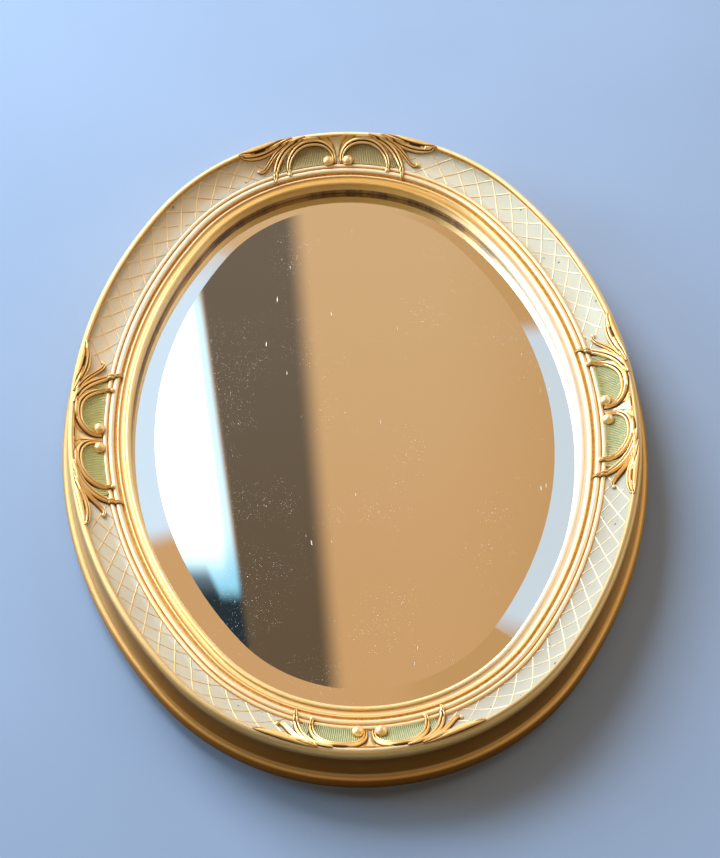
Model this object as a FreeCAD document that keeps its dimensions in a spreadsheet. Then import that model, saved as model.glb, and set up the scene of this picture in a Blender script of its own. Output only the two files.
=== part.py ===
"""Oval wall mirror: a four-arc oval moulding with scroll cartouches, a bevelled plate and hanging hardware.

Millimetres. +X is right, +Z is up and the front faces -Y. The pieces are drawn round the centre of the oval
with the back of the frame at y = 0, then shifted so that the hook's seat in the hanging ring is the origin.
"""
import FreeCAD, Part
import math
import os
import Sketcher

SIZES = {
    # Oval outline.
    "width": 480,
    "height": 640,
    # Moulding, by offset in from the outline and height over the back.
    "foot_in": 3,
    "torus_top": 12,
    "torus_bulge": 3,
    "fillet_in": 4.4,
    "fillet_top": 15.5,
    "cove_hollow": 3.2,
    "crest_out": 8.6,
    "crest_in": 13.2,
    "crest_foot": 41,
    "crest_rise": 2.2,
    "frieze_top": 39.6,
    "frieze_in": 35,
    "frieze_foot": 28.7,
    "frieze_hollow": 1.8,
    "reed_first": 39.3,
    "reed_second": 44.4,
    "reed_foot": 28.2,
    "reed_rise": 1.7,
    "quirk_in": 44.9,
    "quirk_foot": 26.8,
    "small_reed_out": 46.3,
    "small_reed_in": 48.7,
    "small_reed_rise": 1,
    "flat_in": 52.8,
    "flat_hollow": 0.5,
    "sight_in": 57.5,
    "sight_foot": 25.8,
    "sight_rise": 1.7,
    "rebate_out": 50.5,
    "rebate_depth": 16.5,
    # Loose tongues across the joints.
    "tongue_length": 30,
    "tongue_thickness": 4,
    "tongue_width": 24,
    "tongue_in": 27,
    "tongue_height": 12,
    # Glass and the boards behind it.
    "plate_gap": 0.8,
    "plate_thickness": 5,
    "plate_edge": 2,
    "bevel_width": 25.4,
    "card_thickness": 7,
    "board_thickness": 6.5,
    # Turn buttons.
    "button_in": 41.5,
    "button_reach": 19,
    "button_width": 11,
    "button_thickness": 1.6,
    "button_lift": 0.2,
    # Screws.
    "screw_radius": 1.75,
    "screw_length": 14,
    "screw_head_radius": 3.3,
    "screw_head_height": 1.8,
    "screw_play": 0.1,
    # Strap hanger and ring.
    "strap_width": 14,
    "strap_length": 27,
    "strap_thickness": 1.2,
    "strap_hole_low": 4,
    "strap_hole_pitch": 14,
    "knuckle_in": 23,
    "wire_radius": 1.5,
    "wire_play": 0.06,
    "ring_width": 22,
    "ring_height": 17,
    "ring_corner": 2.6,
    "ring_shoulder": 8,
    "ring_rest_gap": 0.3,
    # Wall bumpers.
    "bumper_radius": 6,
    "bumper_thickness": 6,
    "bumper_in": 27,
    # Cartouches.
    "ornament_half": 96,
    "ridge_radius": 2.3,
    "ridge_lift": 0.6,
    "ball_radius": 5,
    "panel_thickness": 0.9,
}

# Rise over run of the four joint planes: the oval's end and side arcs meet tangentially there.
JOINT_SLOPE_SHARE = 0.75
# Shares of the half angle of an end segment, from the vertical.
BUTTON_SHARE = 0.565
BUMPER_SHARE = 0.83
# Shares of the chord by which a rounded end bulges.
ROUND_END_SHARE = 0.45
CORNER_SHARE = 0.2929
# Share of a full turn that the strap's knuckle is rolled through.
KNUCKLE_ROLL_SHARE = 0.7

# Ridges of a half cartouche: shares of (half length, moulding width, ridge radius) along each ridge.
SCROLL_SHARES = (
    (0.083, 0.518, 0.75), (0.066, 0.435, 0.85), (0.081, 0.348, 0.95), (0.141, 0.278, 1.00),
    (0.229, 0.250, 1.00), (0.333, 0.268, 1.00), (0.427, 0.334, 1.00), (0.500, 0.435, 1.00),
    (0.547, 0.557, 0.90), (0.568, 0.687, 0.70),
)
LONG_LEAF_SHARES = (
    (0.401, 0.233, 0.60), (0.490, 0.282, 0.95), (0.573, 0.358, 1.00), (0.646, 0.459, 1.05),
    (0.708, 0.583, 1.00), (0.750, 0.704, 0.80), (0.771, 0.788, 0.45),
)
CURLED_LEAF_SHARES = (
    (0.531, 0.237, 0.50), (0.609, 0.271, 0.80), (0.693, 0.337, 0.90), (0.766, 0.421, 0.90),
    (0.828, 0.483, 0.80), (0.870, 0.466, 0.60),
)
CREST_LEAF_SHARES = (
    (0.625, 0.190, 0.80), (0.708, 0.224, 1.10), (0.812, 0.235, 1.15), (0.917, 0.216, 0.85),
    (1.000, 0.186, 0.35),
)
BALL_SHARES = (0.115, 0.560)
PANEL_SHARES = (
    (0.127, 0.428), (0.148, 0.363), (0.193, 0.329), (0.260, 0.311), (0.328, 0.330), (0.396, 0.386),
    (0.458, 0.470), (0.500, 0.581), (0.354, 0.581), (0.193, 0.581), (0.183, 0.518), (0.154, 0.463),
)

ACROSS = FreeCAD.Vector(1, 0, 0)
BACKWARD = FreeCAD.Vector(0, 1, 0)
UPWARD = FreeCAD.Vector(0, 0, 1)

doc = FreeCAD.newDocument("OvalMirror")
sheet = doc.addObject("Spreadsheet::Sheet", "Sizes")
for row, (alias, size) in enumerate(SIZES.items(), 1):
    sheet.set(f"A{row}", alias)
    sheet.set(f"B{row}", str(size))
    sheet.setAlias(f"B{row}", alias)
doc.recompute()


def num(expression):
    """Value of an expression over the sheet."""
    value = sheet.evalExpression(expression)
    return float(getattr(value, "Value", value))


HALF_WIDTH = "(Sizes.width / 2)"
HALF_HEIGHT = "(Sizes.height / 2)"
JOINT_ANGLE = f"atan({JOINT_SLOPE_SHARE})"
ARC_SPREAD = f"(1 + {JOINT_SLOPE_SHARE} - sqrt(1 + {JOINT_SLOPE_SHARE}^2))"
SIDE_CENTRE = f"(({HALF_HEIGHT} - {HALF_WIDTH}) / {ARC_SPREAD})"
END_CENTRE = f"({JOINT_SLOPE_SHARE} * {SIDE_CENTRE})"
SIDE_RADIUS = f"({HALF_WIDTH} + {SIDE_CENTRE})"
END_RADIUS = f"({HALF_HEIGHT} - {END_CENTRE})"
BOARD_FRONT = "Sizes.board_thickness"
PLATE_BACK = "(Sizes.board_thickness + Sizes.card_thickness)"
PLATE_OUT = "(Sizes.rebate_out + Sizes.plate_gap)"
KNUCKLE_RADIUS = "(Sizes.wire_radius + Sizes.wire_play)"
KNUCKLE_Y = f"({KNUCKLE_RADIUS} + Sizes.strap_thickness)"
KNUCKLE_Z = "(Sizes.height / 2 - Sizes.knuckle_in)"
RING_LEAN = f"asin(({KNUCKLE_Y} - Sizes.wire_radius - Sizes.ring_rest_gap) / Sizes.ring_height)"
SEAT_REACH = "(Sizes.ring_height - Sizes.wire_radius)"
ORIGIN_Y = f"({KNUCKLE_Y} - {SEAT_REACH} * sin({RING_LEAN}))"
ORIGIN_Z = f"({KNUCKLE_Z} + {SEAT_REACH} * cos({RING_LEAN}))"


def new_body(name):
    """Empty body."""
    return doc.addObject("PartDesign::Body", name)


def sketch_on(body, role, name):
    """Sketch on one of the body's own origin planes."""
    sketch = body.newObject("Sketcher::SketchObject", name)
    plane = [feature for feature in body.Origin.OriginFeatures if feature.Role == role][0]
    sketch.AttachmentSupport = [(plane, "")]
    sketch.MapMode = "FlatFace"
    return sketch


def pin(sketch, kind, geometry, point, expression):
    """Hold one coordinate of a point to an expression."""
    index = sketch.addConstraint(Sketcher.Constraint(kind, -1, 1, geometry, point, num(expression)))
    sketch.setExpression(f"Constraints[{index}]", expression)


def contour(sketch, corners):
    """Closed outline of corners (x, y, rise); a rise bends the edge after it, to the left if positive."""
    count = len(corners)
    spots = [FreeCAD.Vector(num(x), num(y), 0) for x, y, rise in corners]
    edges = []
    for index, (x, y, rise) in enumerate(corners):
        start = spots[index]
        end = spots[(index + 1) % count]
        if rise is None:
            edges.append((sketch.addGeometry(Part.LineSegment(start, end)), 1, 2))
            continue
        chord = end - start
        left = FreeCAD.Vector(-chord.y, chord.x, 0).normalize()
        middle = (start + end) / 2 + left * num(rise)
        edge = sketch.addGeometry(Part.Arc(start, middle, end))
        edges.append((edge, 2, 1) if num(rise) > 0 else (edge, 1, 2))
    for index, (edge, first, last) in enumerate(edges):
        following, following_first, following_last = edges[(index + 1) % count]
        sketch.addConstraint(Sketcher.Constraint("Coincident", edge, last, following, following_first))
    for index, (x, y, rise) in enumerate(corners):
        edge, first, last = edges[index]
        pin(sketch, "DistanceX", edge, first, x)
        pin(sketch, "DistanceY", edge, first, y)
        if rise is not None:
            end_x, end_y, end_rise = corners[(index + 1) % count]
            chord_squared = f"((({end_x}) - ({x}))^2 + (({end_y}) - ({y}))^2)"
            radius = f"({chord_squared} / (8 * abs({rise})) + abs({rise}) / 2)"
            number = sketch.addConstraint(Sketcher.Constraint("Radius", edge, num(radius)))
            sketch.setExpression(f"Constraints[{number}]", radius)


def circle(sketch, x, y, radius):
    """Circle held to expressions."""
    spot = FreeCAD.Vector(num(x), num(y), 0)
    ring = sketch.addGeometry(Part.Circle(spot, UPWARD, num(radius)))
    pin(sketch, "DistanceX", ring, 3, x)
    pin(sketch, "DistanceY", ring, 3, y)
    number = sketch.addConstraint(Sketcher.Constraint("Radius", ring, num(radius)))
    sketch.setExpression(f"Constraints[{number}]", radius)


def bind(item, **expressions):
    """Tie properties of an object to expressions."""
    for name, expression in expressions.items():
        item.setExpression(name, expression)


def place(item, x, y, z, turn="0", axis=BACKWARD):
    """Tie a placement to expressions: a point, and a turn in degrees about an axis."""
    item.Placement = FreeCAD.Placement(FreeCAD.Vector(), FreeCAD.Rotation(axis, 1))
    item.setExpression("Placement.Base.x", x)
    item.setExpression("Placement.Base.y", y)
    item.setExpression("Placement.Base.z", z)
    item.setExpression("Placement.Rotation.Angle", turn)


pieces = []


def hand_in(item, label, x="0", y="0", z="0", turn="0", axis=BACKWARD):
    """Name a finished piece and seat it with the ring's hook seat as the origin."""
    item.Label = label
    place(item, x, f"{y} - {ORIGIN_Y}", f"{z} - {ORIGIN_Z}", turn, axis)
    pieces.append(item)


def pad(body, sketch, length, backward=True):
    """Pad a wall-plane sketch toward the wall, or toward the front."""
    feature = body.newObject("PartDesign::Pad", f"{body.Name}_pad")
    feature.Profile = sketch
    feature.Reversed = backward
    bind(feature, Length=length)
    return feature


def oval_corners(inset):
    """Corners of the four-arc oval at an inset from the outline."""
    reach = f"({END_RADIUS} - {inset})"
    across = f"({reach} * cos({JOINT_ANGLE}))"
    up = f"({END_CENTRE} + {reach} * sin({JOINT_ANGLE}))"
    end_rise = f"({reach} * (1 - sin({JOINT_ANGLE})))"
    side_rise = f"(({SIDE_RADIUS} - {inset}) * (1 - cos({JOINT_ANGLE})))"
    return [
        (across, up, f"-{end_rise}"),
        (f"-{across}", up, f"-{side_rise}"),
        (f"-{across}", f"-{up}", f"-{end_rise}"),
        (across, f"-{up}", f"-{side_rise}"),
    ]


# Moulding section: offset in from the outline, height over the back, and the bend of the edge that follows.
SECTION = [
    ("Sizes.foot_in", "0", "Sizes.torus_bulge"),
    ("Sizes.foot_in", "Sizes.torus_top", None),
    ("Sizes.fillet_in", "Sizes.torus_top", None),
    ("Sizes.fillet_in", "Sizes.fillet_top", "-Sizes.cove_hollow"),
    ("Sizes.crest_out", "Sizes.crest_foot", "Sizes.crest_rise"),
    ("Sizes.crest_in", "Sizes.crest_foot", None),
    ("Sizes.crest_in", "Sizes.frieze_top", "-Sizes.frieze_hollow"),
    ("Sizes.frieze_in", "Sizes.frieze_foot", "Sizes.reed_rise"),
    ("Sizes.reed_first", "Sizes.reed_foot", "Sizes.reed_rise"),
    ("Sizes.reed_second", "Sizes.reed_foot", None),
    ("Sizes.quirk_in", "Sizes.quirk_foot", None),
    ("Sizes.small_reed_out", "Sizes.quirk_foot", "Sizes.small_reed_rise"),
    ("Sizes.small_reed_in", "Sizes.quirk_foot", "-Sizes.flat_hollow"),
    ("Sizes.flat_in", "Sizes.quirk_foot", "Sizes.sight_rise"),
    ("Sizes.sight_in", "Sizes.sight_foot", None),
    ("Sizes.sight_in", "Sizes.rebate_depth", None),
    ("Sizes.rebate_out", "Sizes.rebate_depth", None),
    ("Sizes.rebate_out", "0", None),
]

# The four arcs: plane of the section, side of the centre, and whether the arc is an end of the oval.
ARCS = {
    "top": ("YZ_Plane", 1, True),
    "bottom": ("YZ_Plane", -1, True),
    "right": ("XY_Plane", 1, False),
    "left": ("XY_Plane", -1, False),
}


def arc_point(arc, lean, inset):
    """Wall-plane point of an arc, by its lean (degrees expression) from the arc's middle and its inset."""
    plane, side, is_end = ARCS[arc]
    if is_end:
        reach = f"({END_RADIUS} - {inset})"
        return f"({reach} * sin({lean}))", f"({side} * ({END_CENTRE} + {reach} * cos({lean})))"
    reach = f"({SIDE_RADIUS} - {inset})"
    return f"({side} * ({reach} * cos({lean}) - {SIDE_CENTRE}))", f"({reach} * sin({lean}))"


def swept(arc, section, name, span):
    """Body of a section turned through an arc's span about the arc's own centre."""
    plane, side, is_end = ARCS[arc]
    body = new_body(name)
    sketch = sketch_on(body, plane, f"{name}_section")
    corners = []
    for inset, height, rise in section:
        if is_end:
            corner = (f"-({height})", f"({side} * ({END_RADIUS} - {inset}))")
            flip = 1 if side > 0 else -1
        else:
            corner = (f"({side} * ({SIDE_RADIUS} - {inset}))", f"-({height})")
            flip = -1 if side > 0 else 1
        corners.append(corner + (None if rise is None else f"({-flip} * ({rise}))",))
    contour(sketch, corners)
    if is_end:
        sketch.setExpression("AttachmentOffset.Base.y", f"{side} * {END_CENTRE}")
    else:
        sketch.setExpression("AttachmentOffset.Base.x", f"-({side}) * {SIDE_CENTRE}")
    turn = body.newObject("PartDesign::Revolution", f"{name}_turn")
    turn.Profile = sketch
    turn.ReferenceAxis = (sketch, ["H_Axis" if is_end else "V_Axis"])
    turn.Midplane = True
    bind(turn, Angle=span)
    return body, turn


def bore(body, name, x, z, radius, depth):
    """Blind hole from the back of a body toward its front."""
    cutter = body.newObject("PartDesign::SubtractiveCylinder", name)
    bind(cutter, Radius=radius, Height=depth)
    place(cutter, x, "0", z, QUARTER_TURN, ACROSS)


QUARTER_TURN = "90"
END_SPAN = f"(2 * (90 - {JOINT_ANGLE} / 1 deg))"
SIDE_SPAN = f"(2 * {JOINT_ANGLE} / 1 deg)"
BUTTON_LEAN = f"({BUTTON_SHARE} * {END_SPAN} / 2)"
BUMPER_LEAN = f"({BUMPER_SHARE} * {END_SPAN} / 2)"
BUTTONS = [
    ("right", "0", "90"),
    ("top", BUTTON_LEAN, f"{BUTTON_LEAN}"),
    ("top", f"(-{BUTTON_LEAN})", f"(-{BUTTON_LEAN})"),
    ("left", "0", "-90"),
    ("bottom", f"(-{BUTTON_LEAN})", f"(180 + {BUTTON_LEAN})"),
    ("bottom", BUTTON_LEAN, f"(180 - {BUTTON_LEAN})"),
]
STRAP_HOLES = [
    f"({KNUCKLE_Z} - Sizes.strap_length + Sizes.strap_hole_low)",
    f"({KNUCKLE_Z} - Sizes.strap_length + Sizes.strap_hole_low + Sizes.strap_hole_pitch)",
]
BUTTON_SPOTS = [arc_point(arc, lean, "Sizes.button_in") for arc, lean, turn in BUTTONS]
PILOT_RADIUS = "Sizes.screw_radius + Sizes.screw_play / 2"

# Frame segments, with the pilot holes and the tongue slots cut in them.
JOINTS = [(1, 1), (-1, 1), (-1, -1), (1, -1)]


def tongue_spot(across, upward):
    """Base point and turn of a tongue's block across one joint."""
    reach = f"({END_RADIUS} - Sizes.tongue_in)"
    x = f"({across} * {reach} * cos({JOINT_ANGLE}))"
    z = f"({upward} * ({END_CENTRE} + {reach} * sin({JOINT_ANGLE})))"
    angle = f"({across * upward} * (90 - {JOINT_ANGLE} / 1 deg))"
    back_x = f"(cos({angle}) * Sizes.tongue_length / 2 + sin({angle}) * Sizes.tongue_width / 2)"
    back_z = f"(-sin({angle}) * Sizes.tongue_length / 2 + cos({angle}) * Sizes.tongue_width / 2)"
    y = "(-Sizes.tongue_height - Sizes.tongue_thickness / 2)"
    return f"{x} - {back_x}", y, f"{z} - {back_z}", angle


segments = {}
mouldings = {}
for arc, (plane, side, is_end) in ARCS.items():
    segment, mouldings[arc] = swept(arc, SECTION, f"segment_{arc}", END_SPAN if is_end else SIDE_SPAN)
    for index, (across, upward) in enumerate(JOINTS):
        if side != (upward if is_end else across):
            continue
        slot = segment.newObject("PartDesign::SubtractiveBox", f"slot_{arc}_{index}")
        bind(slot, Length="Sizes.tongue_length", Width="Sizes.tongue_thickness", Height="Sizes.tongue_width")
        place(slot, *tongue_spot(across, upward))
    for index, (spot, (button_arc, lean, turn)) in enumerate(zip(BUTTON_SPOTS, BUTTONS)):
        if button_arc == arc:
            bore(segment, f"pilot_{arc}_{index}", spot[0], spot[1], PILOT_RADIUS, "Sizes.screw_length")
    if arc == "top":
        for index, hole_z in enumerate(STRAP_HOLES):
            bore(segment, f"strap_pilot_{index}", "0", hole_z, PILOT_RADIUS, "Sizes.screw_length")
    segments[arc] = segment

tongues = []
for index, (across, upward) in enumerate(JOINTS):
    block = doc.addObject("Part::Box", f"tongue_{index}")
    bind(block, Length="Sizes.tongue_length", Width="Sizes.tongue_thickness", Height="Sizes.tongue_width")
    place(block, *tongue_spot(across, upward))
    tongues.append(block)
tongue_set = doc.addObject("Part::Compound", "tongue_set")
tongue_set.Links = tongues

# Mirror plate: an upright edge, then the bevel rising to the full thickness.
plate = new_body("plate")
plate_edge = sketch_on(plate, "XZ_Plane", "plate_edge")
contour(plate_edge, oval_corners(PLATE_OUT))
plate_edge.setExpression("AttachmentOffset.Base.z", PLATE_BACK)
pad(plate, plate_edge, "Sizes.plate_edge", backward=False)
bevel_foot = sketch_on(plate, "XZ_Plane", "bevel_foot")
contour(bevel_foot, oval_corners(PLATE_OUT))
bevel_foot.setExpression("AttachmentOffset.Base.z", f"{PLATE_BACK} + Sizes.plate_edge")
bevel_head = sketch_on(plate, "XZ_Plane", "bevel_head")
contour(bevel_head, oval_corners(f"({PLATE_OUT} + Sizes.bevel_width)"))
bevel_head.setExpression("AttachmentOffset.Base.z", f"{PLATE_BACK} + Sizes.plate_thickness")
bevel = plate.newObject("PartDesign::AdditiveLoft", "bevel")
bevel.Profile = bevel_foot
bevel.Sections = [bevel_head]
bevel.Ruled = True

boards = {}
for name, thickness, back in (
    ("card", "Sizes.card_thickness", BOARD_FRONT),
    ("board", "Sizes.board_thickness", "0"),
):
    sheet_body = new_body(name)
    outline = sketch_on(sheet_body, "XZ_Plane", f"{name}_outline")
    contour(outline, oval_corners(PLATE_OUT))
    outline.setExpression("AttachmentOffset.Base.z", back)
    pad(sheet_body, outline, thickness, backward=False)
    boards[name] = sheet_body

# Turn buttons, drawn with the screw on their own axis and the long end down.
HALF_BUTTON = "(Sizes.button_width / 2)"
BUTTON_ROUND = f"({ROUND_END_SHARE} * Sizes.button_width)"
buttons = []
for index in range(len(BUTTONS)):
    button = new_body(f"button_{index + 1}")
    outline = sketch_on(button, "XZ_Plane", f"button_outline_{index + 1}")
    contour(outline, [
        (HALF_BUTTON, "0", f"-{BUTTON_ROUND}"),
        (f"-{HALF_BUTTON}", "0", None),
        (f"-{HALF_BUTTON}", "-Sizes.button_reach", f"-{BUTTON_ROUND}"),
        (HALF_BUTTON, "-Sizes.button_reach", None),
    ])
    circle(outline, "0", "0", "Sizes.screw_radius + Sizes.screw_play")
    pad(button, outline, "Sizes.button_thickness")
    buttons.append(button)


def screw(name, x, z, head_foot):
    """Pan-head screw into the back of the frame, its head's underside at the given height off the back."""
    shank = doc.addObject("Part::Cylinder", f"{name}_shank")
    bind(shank, Radius="Sizes.screw_radius", Height=f"Sizes.screw_length + {head_foot}")
    head = doc.addObject("Part::Cylinder", f"{name}_head")
    bind(head, Radius="Sizes.screw_head_radius", Height="Sizes.screw_head_height")
    for item, y in ((shank, head_foot), (head, f"{head_foot} + Sizes.screw_head_height")):
        place(item, x, y, z, QUARTER_TURN, ACROSS)
    whole = doc.addObject("Part::Fuse", name)
    whole.Base = shank
    whole.Tool = head
    return whole


BUTTON_HEAD_FOOT = "(2 * Sizes.button_lift + Sizes.button_thickness)"
button_screws = doc.addObject("Part::Compound", "button_screws")
button_screws.Links = [
    screw(f"button_screw_{index + 1}", x, z, BUTTON_HEAD_FOOT) for index, (x, z) in enumerate(BUTTON_SPOTS)
]
strap_screws = doc.addObject("Part::Compound", "strap_screws")
strap_screws.Links = [
    screw(f"strap_screw_{index + 1}", "0", z, "Sizes.strap_thickness") for index, z in enumerate(STRAP_HOLES)
]

# Strap hanger: a plate rolled into a knuckle at its top.
strap = new_body("strap")
strap_side = sketch_on(strap, "YZ_Plane", "strap_side")
OUTER_ROLL = f"({KNUCKLE_RADIUS} + Sizes.strap_thickness)"


def roll_point(radius, angle):
    """Point of the knuckle by its angle round from the plate's side, clockwise over the top."""
    return f"({KNUCKLE_Y} - {radius} * cos({angle}))", f"({KNUCKLE_Z} + {radius} * sin({angle}))"


END_ROLL = f"(360 * {KNUCKLE_ROLL_SHARE})"
MIDDLE_ROLL = f"({END_ROLL} / 2)"
ROLL_RISE = f"(1 - cos({MIDDLE_ROLL} / 2))"
outer_middle = roll_point(OUTER_ROLL, MIDDLE_ROLL)
outer_end = roll_point(OUTER_ROLL, END_ROLL)
inner_end = roll_point(KNUCKLE_RADIUS, END_ROLL)
inner_middle = roll_point(KNUCKLE_RADIUS, MIDDLE_ROLL)
strap_foot = f"({KNUCKLE_Z} - Sizes.strap_length)"
contour(strap_side, [
    ("0", strap_foot, None),
    ("0", KNUCKLE_Z, f"({OUTER_ROLL} * {ROLL_RISE})"),
    outer_middle + (f"({OUTER_ROLL} * {ROLL_RISE})",),
    outer_end + (None,),
    inner_end + (f"(-{KNUCKLE_RADIUS} * {ROLL_RISE})",),
    inner_middle + (f"(-{KNUCKLE_RADIUS} * {ROLL_RISE})",),
    ("Sizes.strap_thickness", KNUCKLE_Z, None),
    ("Sizes.strap_thickness", strap_foot, None),
])
strap_pad = strap.newObject("PartDesign::Pad", "strap_pad")
strap_pad.Profile = strap_side
strap_pad.Midplane = True
bind(strap_pad, Length="Sizes.strap_width")
for index, hole_z in enumerate(STRAP_HOLES):
    hole = strap.newObject("PartDesign::SubtractiveCylinder", f"strap_hole_{index}")
    bind(hole, Radius="Sizes.screw_radius + Sizes.screw_play", Height="2 * Sizes.strap_thickness")
    place(hole, "0", "1.5 * Sizes.strap_thickness", hole_z, QUARTER_TURN, ACROSS)

# Hanging ring, drawn upright with its straight side on the knuckle's axis.
ring = new_body("ring")
HALF_RING = "(Sizes.ring_width / 2)"
ring_path = sketch_on(ring, "XZ_Plane", "ring_path")
CORNER_RISE = f"(-{CORNER_SHARE} * Sizes.ring_corner)"
SHOULDER_RISE = f"(-{CORNER_SHARE} * Sizes.ring_shoulder)"
contour(ring_path, [
    (f"-({HALF_RING} - Sizes.ring_corner)", "0", None),
    (f"({HALF_RING} - Sizes.ring_corner)", "0", CORNER_RISE),
    (HALF_RING, "Sizes.ring_corner", None),
    (HALF_RING, "(Sizes.ring_height - Sizes.ring_shoulder)", SHOULDER_RISE),
    (f"({HALF_RING} - Sizes.ring_shoulder)", "Sizes.ring_height", None),
    (f"-({HALF_RING} - Sizes.ring_shoulder)", "Sizes.ring_height", SHOULDER_RISE),
    (f"-{HALF_RING}", "(Sizes.ring_height - Sizes.ring_shoulder)", None),
    (f"-{HALF_RING}", "Sizes.ring_corner", CORNER_RISE),
])
wire_section = sketch_on(ring, "YZ_Plane", "wire_section")
circle(wire_section, "0", "0", "Sizes.wire_radius")
wire_section.setExpression("AttachmentOffset.Base.z", f"-({HALF_RING} - Sizes.ring_corner)")
ring_pipe = ring.newObject("PartDesign::AdditivePipe", "ring_pipe")
ring_pipe.Profile = wire_section
ring_pipe.Spine = (ring_path, [])

# Wall bumpers.
bumpers = {}
for name, lean in (("left", f"(-{BUMPER_LEAN})"), ("right", BUMPER_LEAN)):
    bumper = new_body(f"bumper_{name}_disc")
    outline = sketch_on(bumper, "XZ_Plane", f"bumper_{name}_outline")
    circle(outline, "0", "0", "Sizes.bumper_radius")
    pad(bumper, outline, "Sizes.bumper_thickness")
    bumpers[name] = (bumper, arc_point("bottom", lean, "Sizes.bumper_in"))


# Cartouches: tapered ridges that lie on the moulding, cut to its face.
def size(alias):
    """Number held in one cell."""
    return float(sheet.get(alias))


def face_height(inset):
    """Height of the moulding's face over the back at an inset, from the crest to the reeds."""
    across = (inset - size("crest_in")) / (size("frieze_in") - size("crest_in"))
    if across < 0:
        return size("crest_foot")
    if across > 1:
        return size("frieze_foot")
    straight = size("frieze_top") + across * (size("frieze_foot") - size("frieze_top"))
    return straight - 4 * size("frieze_hollow") * across * (1 - across)


def on_face(arc, along, inset, lift):
    """Point on the face of an arc's moulding, by the length along the outline from the arc's middle."""
    plane, side, is_end = ARCS[arc]
    radius = num(END_RADIUS if is_end else SIDE_RADIUS)
    x, z = arc_point(arc, f"({math.degrees(along / radius)})", f"{inset}")
    return FreeCAD.Vector(num(x), -face_height(inset) - lift, num(z))


def ridge(arc, name, shares):
    """Tapered ridge through circles along shares of the half length, moulding width and ridge radius."""
    spots = []
    for along_share, inset_share, radius_share in shares:
        along = along_share * size("ornament_half")
        inset = inset_share * size("sight_in")
        spots.append(on_face(arc, along, inset, size("ridge_lift")))
    circles = []
    for index, (spot, (along_share, inset_share, radius_share)) in enumerate(zip(spots, shares)):
        ahead = spots[min(index + 1, len(spots) - 1)] - spots[max(index - 1, 0)]
        round_section = doc.addObject("Part::Circle", f"{name}_{index}")
        bind(round_section, Radius=f"{radius_share} * Sizes.ridge_radius")
        round_section.Placement = FreeCAD.Placement(spot, FreeCAD.Rotation(UPWARD, ahead))
        circles.append(round_section)
    loft = doc.addObject("Part::Loft", name)
    loft.Sections = circles
    loft.Solid = True
    loft.Ruled = False
    return loft


def cartouche(arc):
    """One cartouche: half its ridges and its ball, their mirror images, and the moulding cut out beneath."""
    plane, side, is_end = ARCS[arc]
    ball = doc.addObject("Part::Sphere", f"ball_{arc}")
    bind(ball, Radius="Sizes.ball_radius")
    along_share, inset_share = BALL_SHARES
    along = along_share * size("ornament_half")
    seat = on_face(arc, along, inset_share * size("sight_in"), size("ridge_lift"))
    ball.Placement = FreeCAD.Placement(seat, FreeCAD.Rotation(ACROSS, 90))
    scroll = ridge(arc, f"scroll_{arc}", SCROLL_SHARES)
    scroll_and_ball = doc.addObject("Part::Fuse", f"scroll_and_ball_{arc}")
    scroll_and_ball.Base = scroll
    scroll_and_ball.Tool = ball
    strands = [
        scroll_and_ball,
        ridge(arc, f"long_leaf_{arc}", LONG_LEAF_SHARES),
        ridge(arc, f"curled_leaf_{arc}", CURLED_LEAF_SHARES),
        ridge(arc, f"crest_leaf_{arc}", CREST_LEAF_SHARES),
    ]
    half = doc.addObject("Part::Compound", f"half_cartouche_{arc}")
    seated = []
    for strand in strands:
        trimmed = doc.addObject("Part::Cut", f"seated_{strand.Name}")
        trimmed.Base = strand
        trimmed.Tool = mouldings[arc]
        seated.append(trimmed)
    half.Links = seated
    return both_halves(arc, half, f"cartouche_{arc}")


def both_halves(arc, half, name):
    """A half and its mirror image across the arc's middle."""
    plane, side, is_end = ARCS[arc]
    mirrored = doc.addObject("Part::Mirroring", f"{name}_mirrored")
    mirrored.Source = half
    mirrored.Normal = ACROSS if is_end else UPWARD
    whole = doc.addObject("Part::Compound", name)
    whole.Links = [half, mirrored]
    return whole


def panel_pair(arc):
    """The two ribbed panels of a cartouche: a thin skin of the frieze, within the scrolls."""
    plane, side, is_end = ARCS[arc]
    skin, skin_turn = swept(arc, [
        ("Sizes.crest_in", "Sizes.frieze_top", "-Sizes.frieze_hollow"),
        ("Sizes.frieze_in", "Sizes.frieze_foot", None),
        ("Sizes.frieze_in", "(Sizes.frieze_foot + Sizes.panel_thickness)", "Sizes.frieze_hollow"),
        ("Sizes.crest_in", "(Sizes.frieze_top + Sizes.panel_thickness)", None),
    ], f"skin_{arc}", END_SPAN if is_end else SIDE_SPAN)
    outline = doc.addObject("Sketcher::SketchObject", f"panel_outline_{arc}")
    outline.Placement = FreeCAD.Placement(FreeCAD.Vector(), FreeCAD.Rotation(ACROSS, 90))
    corners = []
    for along_share, inset_share in PANEL_SHARES:
        radius = END_RADIUS if is_end else SIDE_RADIUS
        lean = f"({along_share} * Sizes.ornament_half / {radius} * 1 rad)"
        corners.append(arc_point(arc, lean, f"({inset_share} * Sizes.sight_in)") + (None,))
    contour(outline, corners)
    cutter = doc.addObject("Part::Extrusion", f"panel_cutter_{arc}")
    cutter.Base = outline
    cutter.DirMode = "Normal"
    cutter.Solid = True
    bind(cutter, LengthFwd="2 * Sizes.crest_foot")
    panel = doc.addObject("Part::Common", f"panel_{arc}")
    panel.Base = skin
    panel.Tool = cutter
    return both_halves(arc, panel, f"panels_{arc}")


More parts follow.
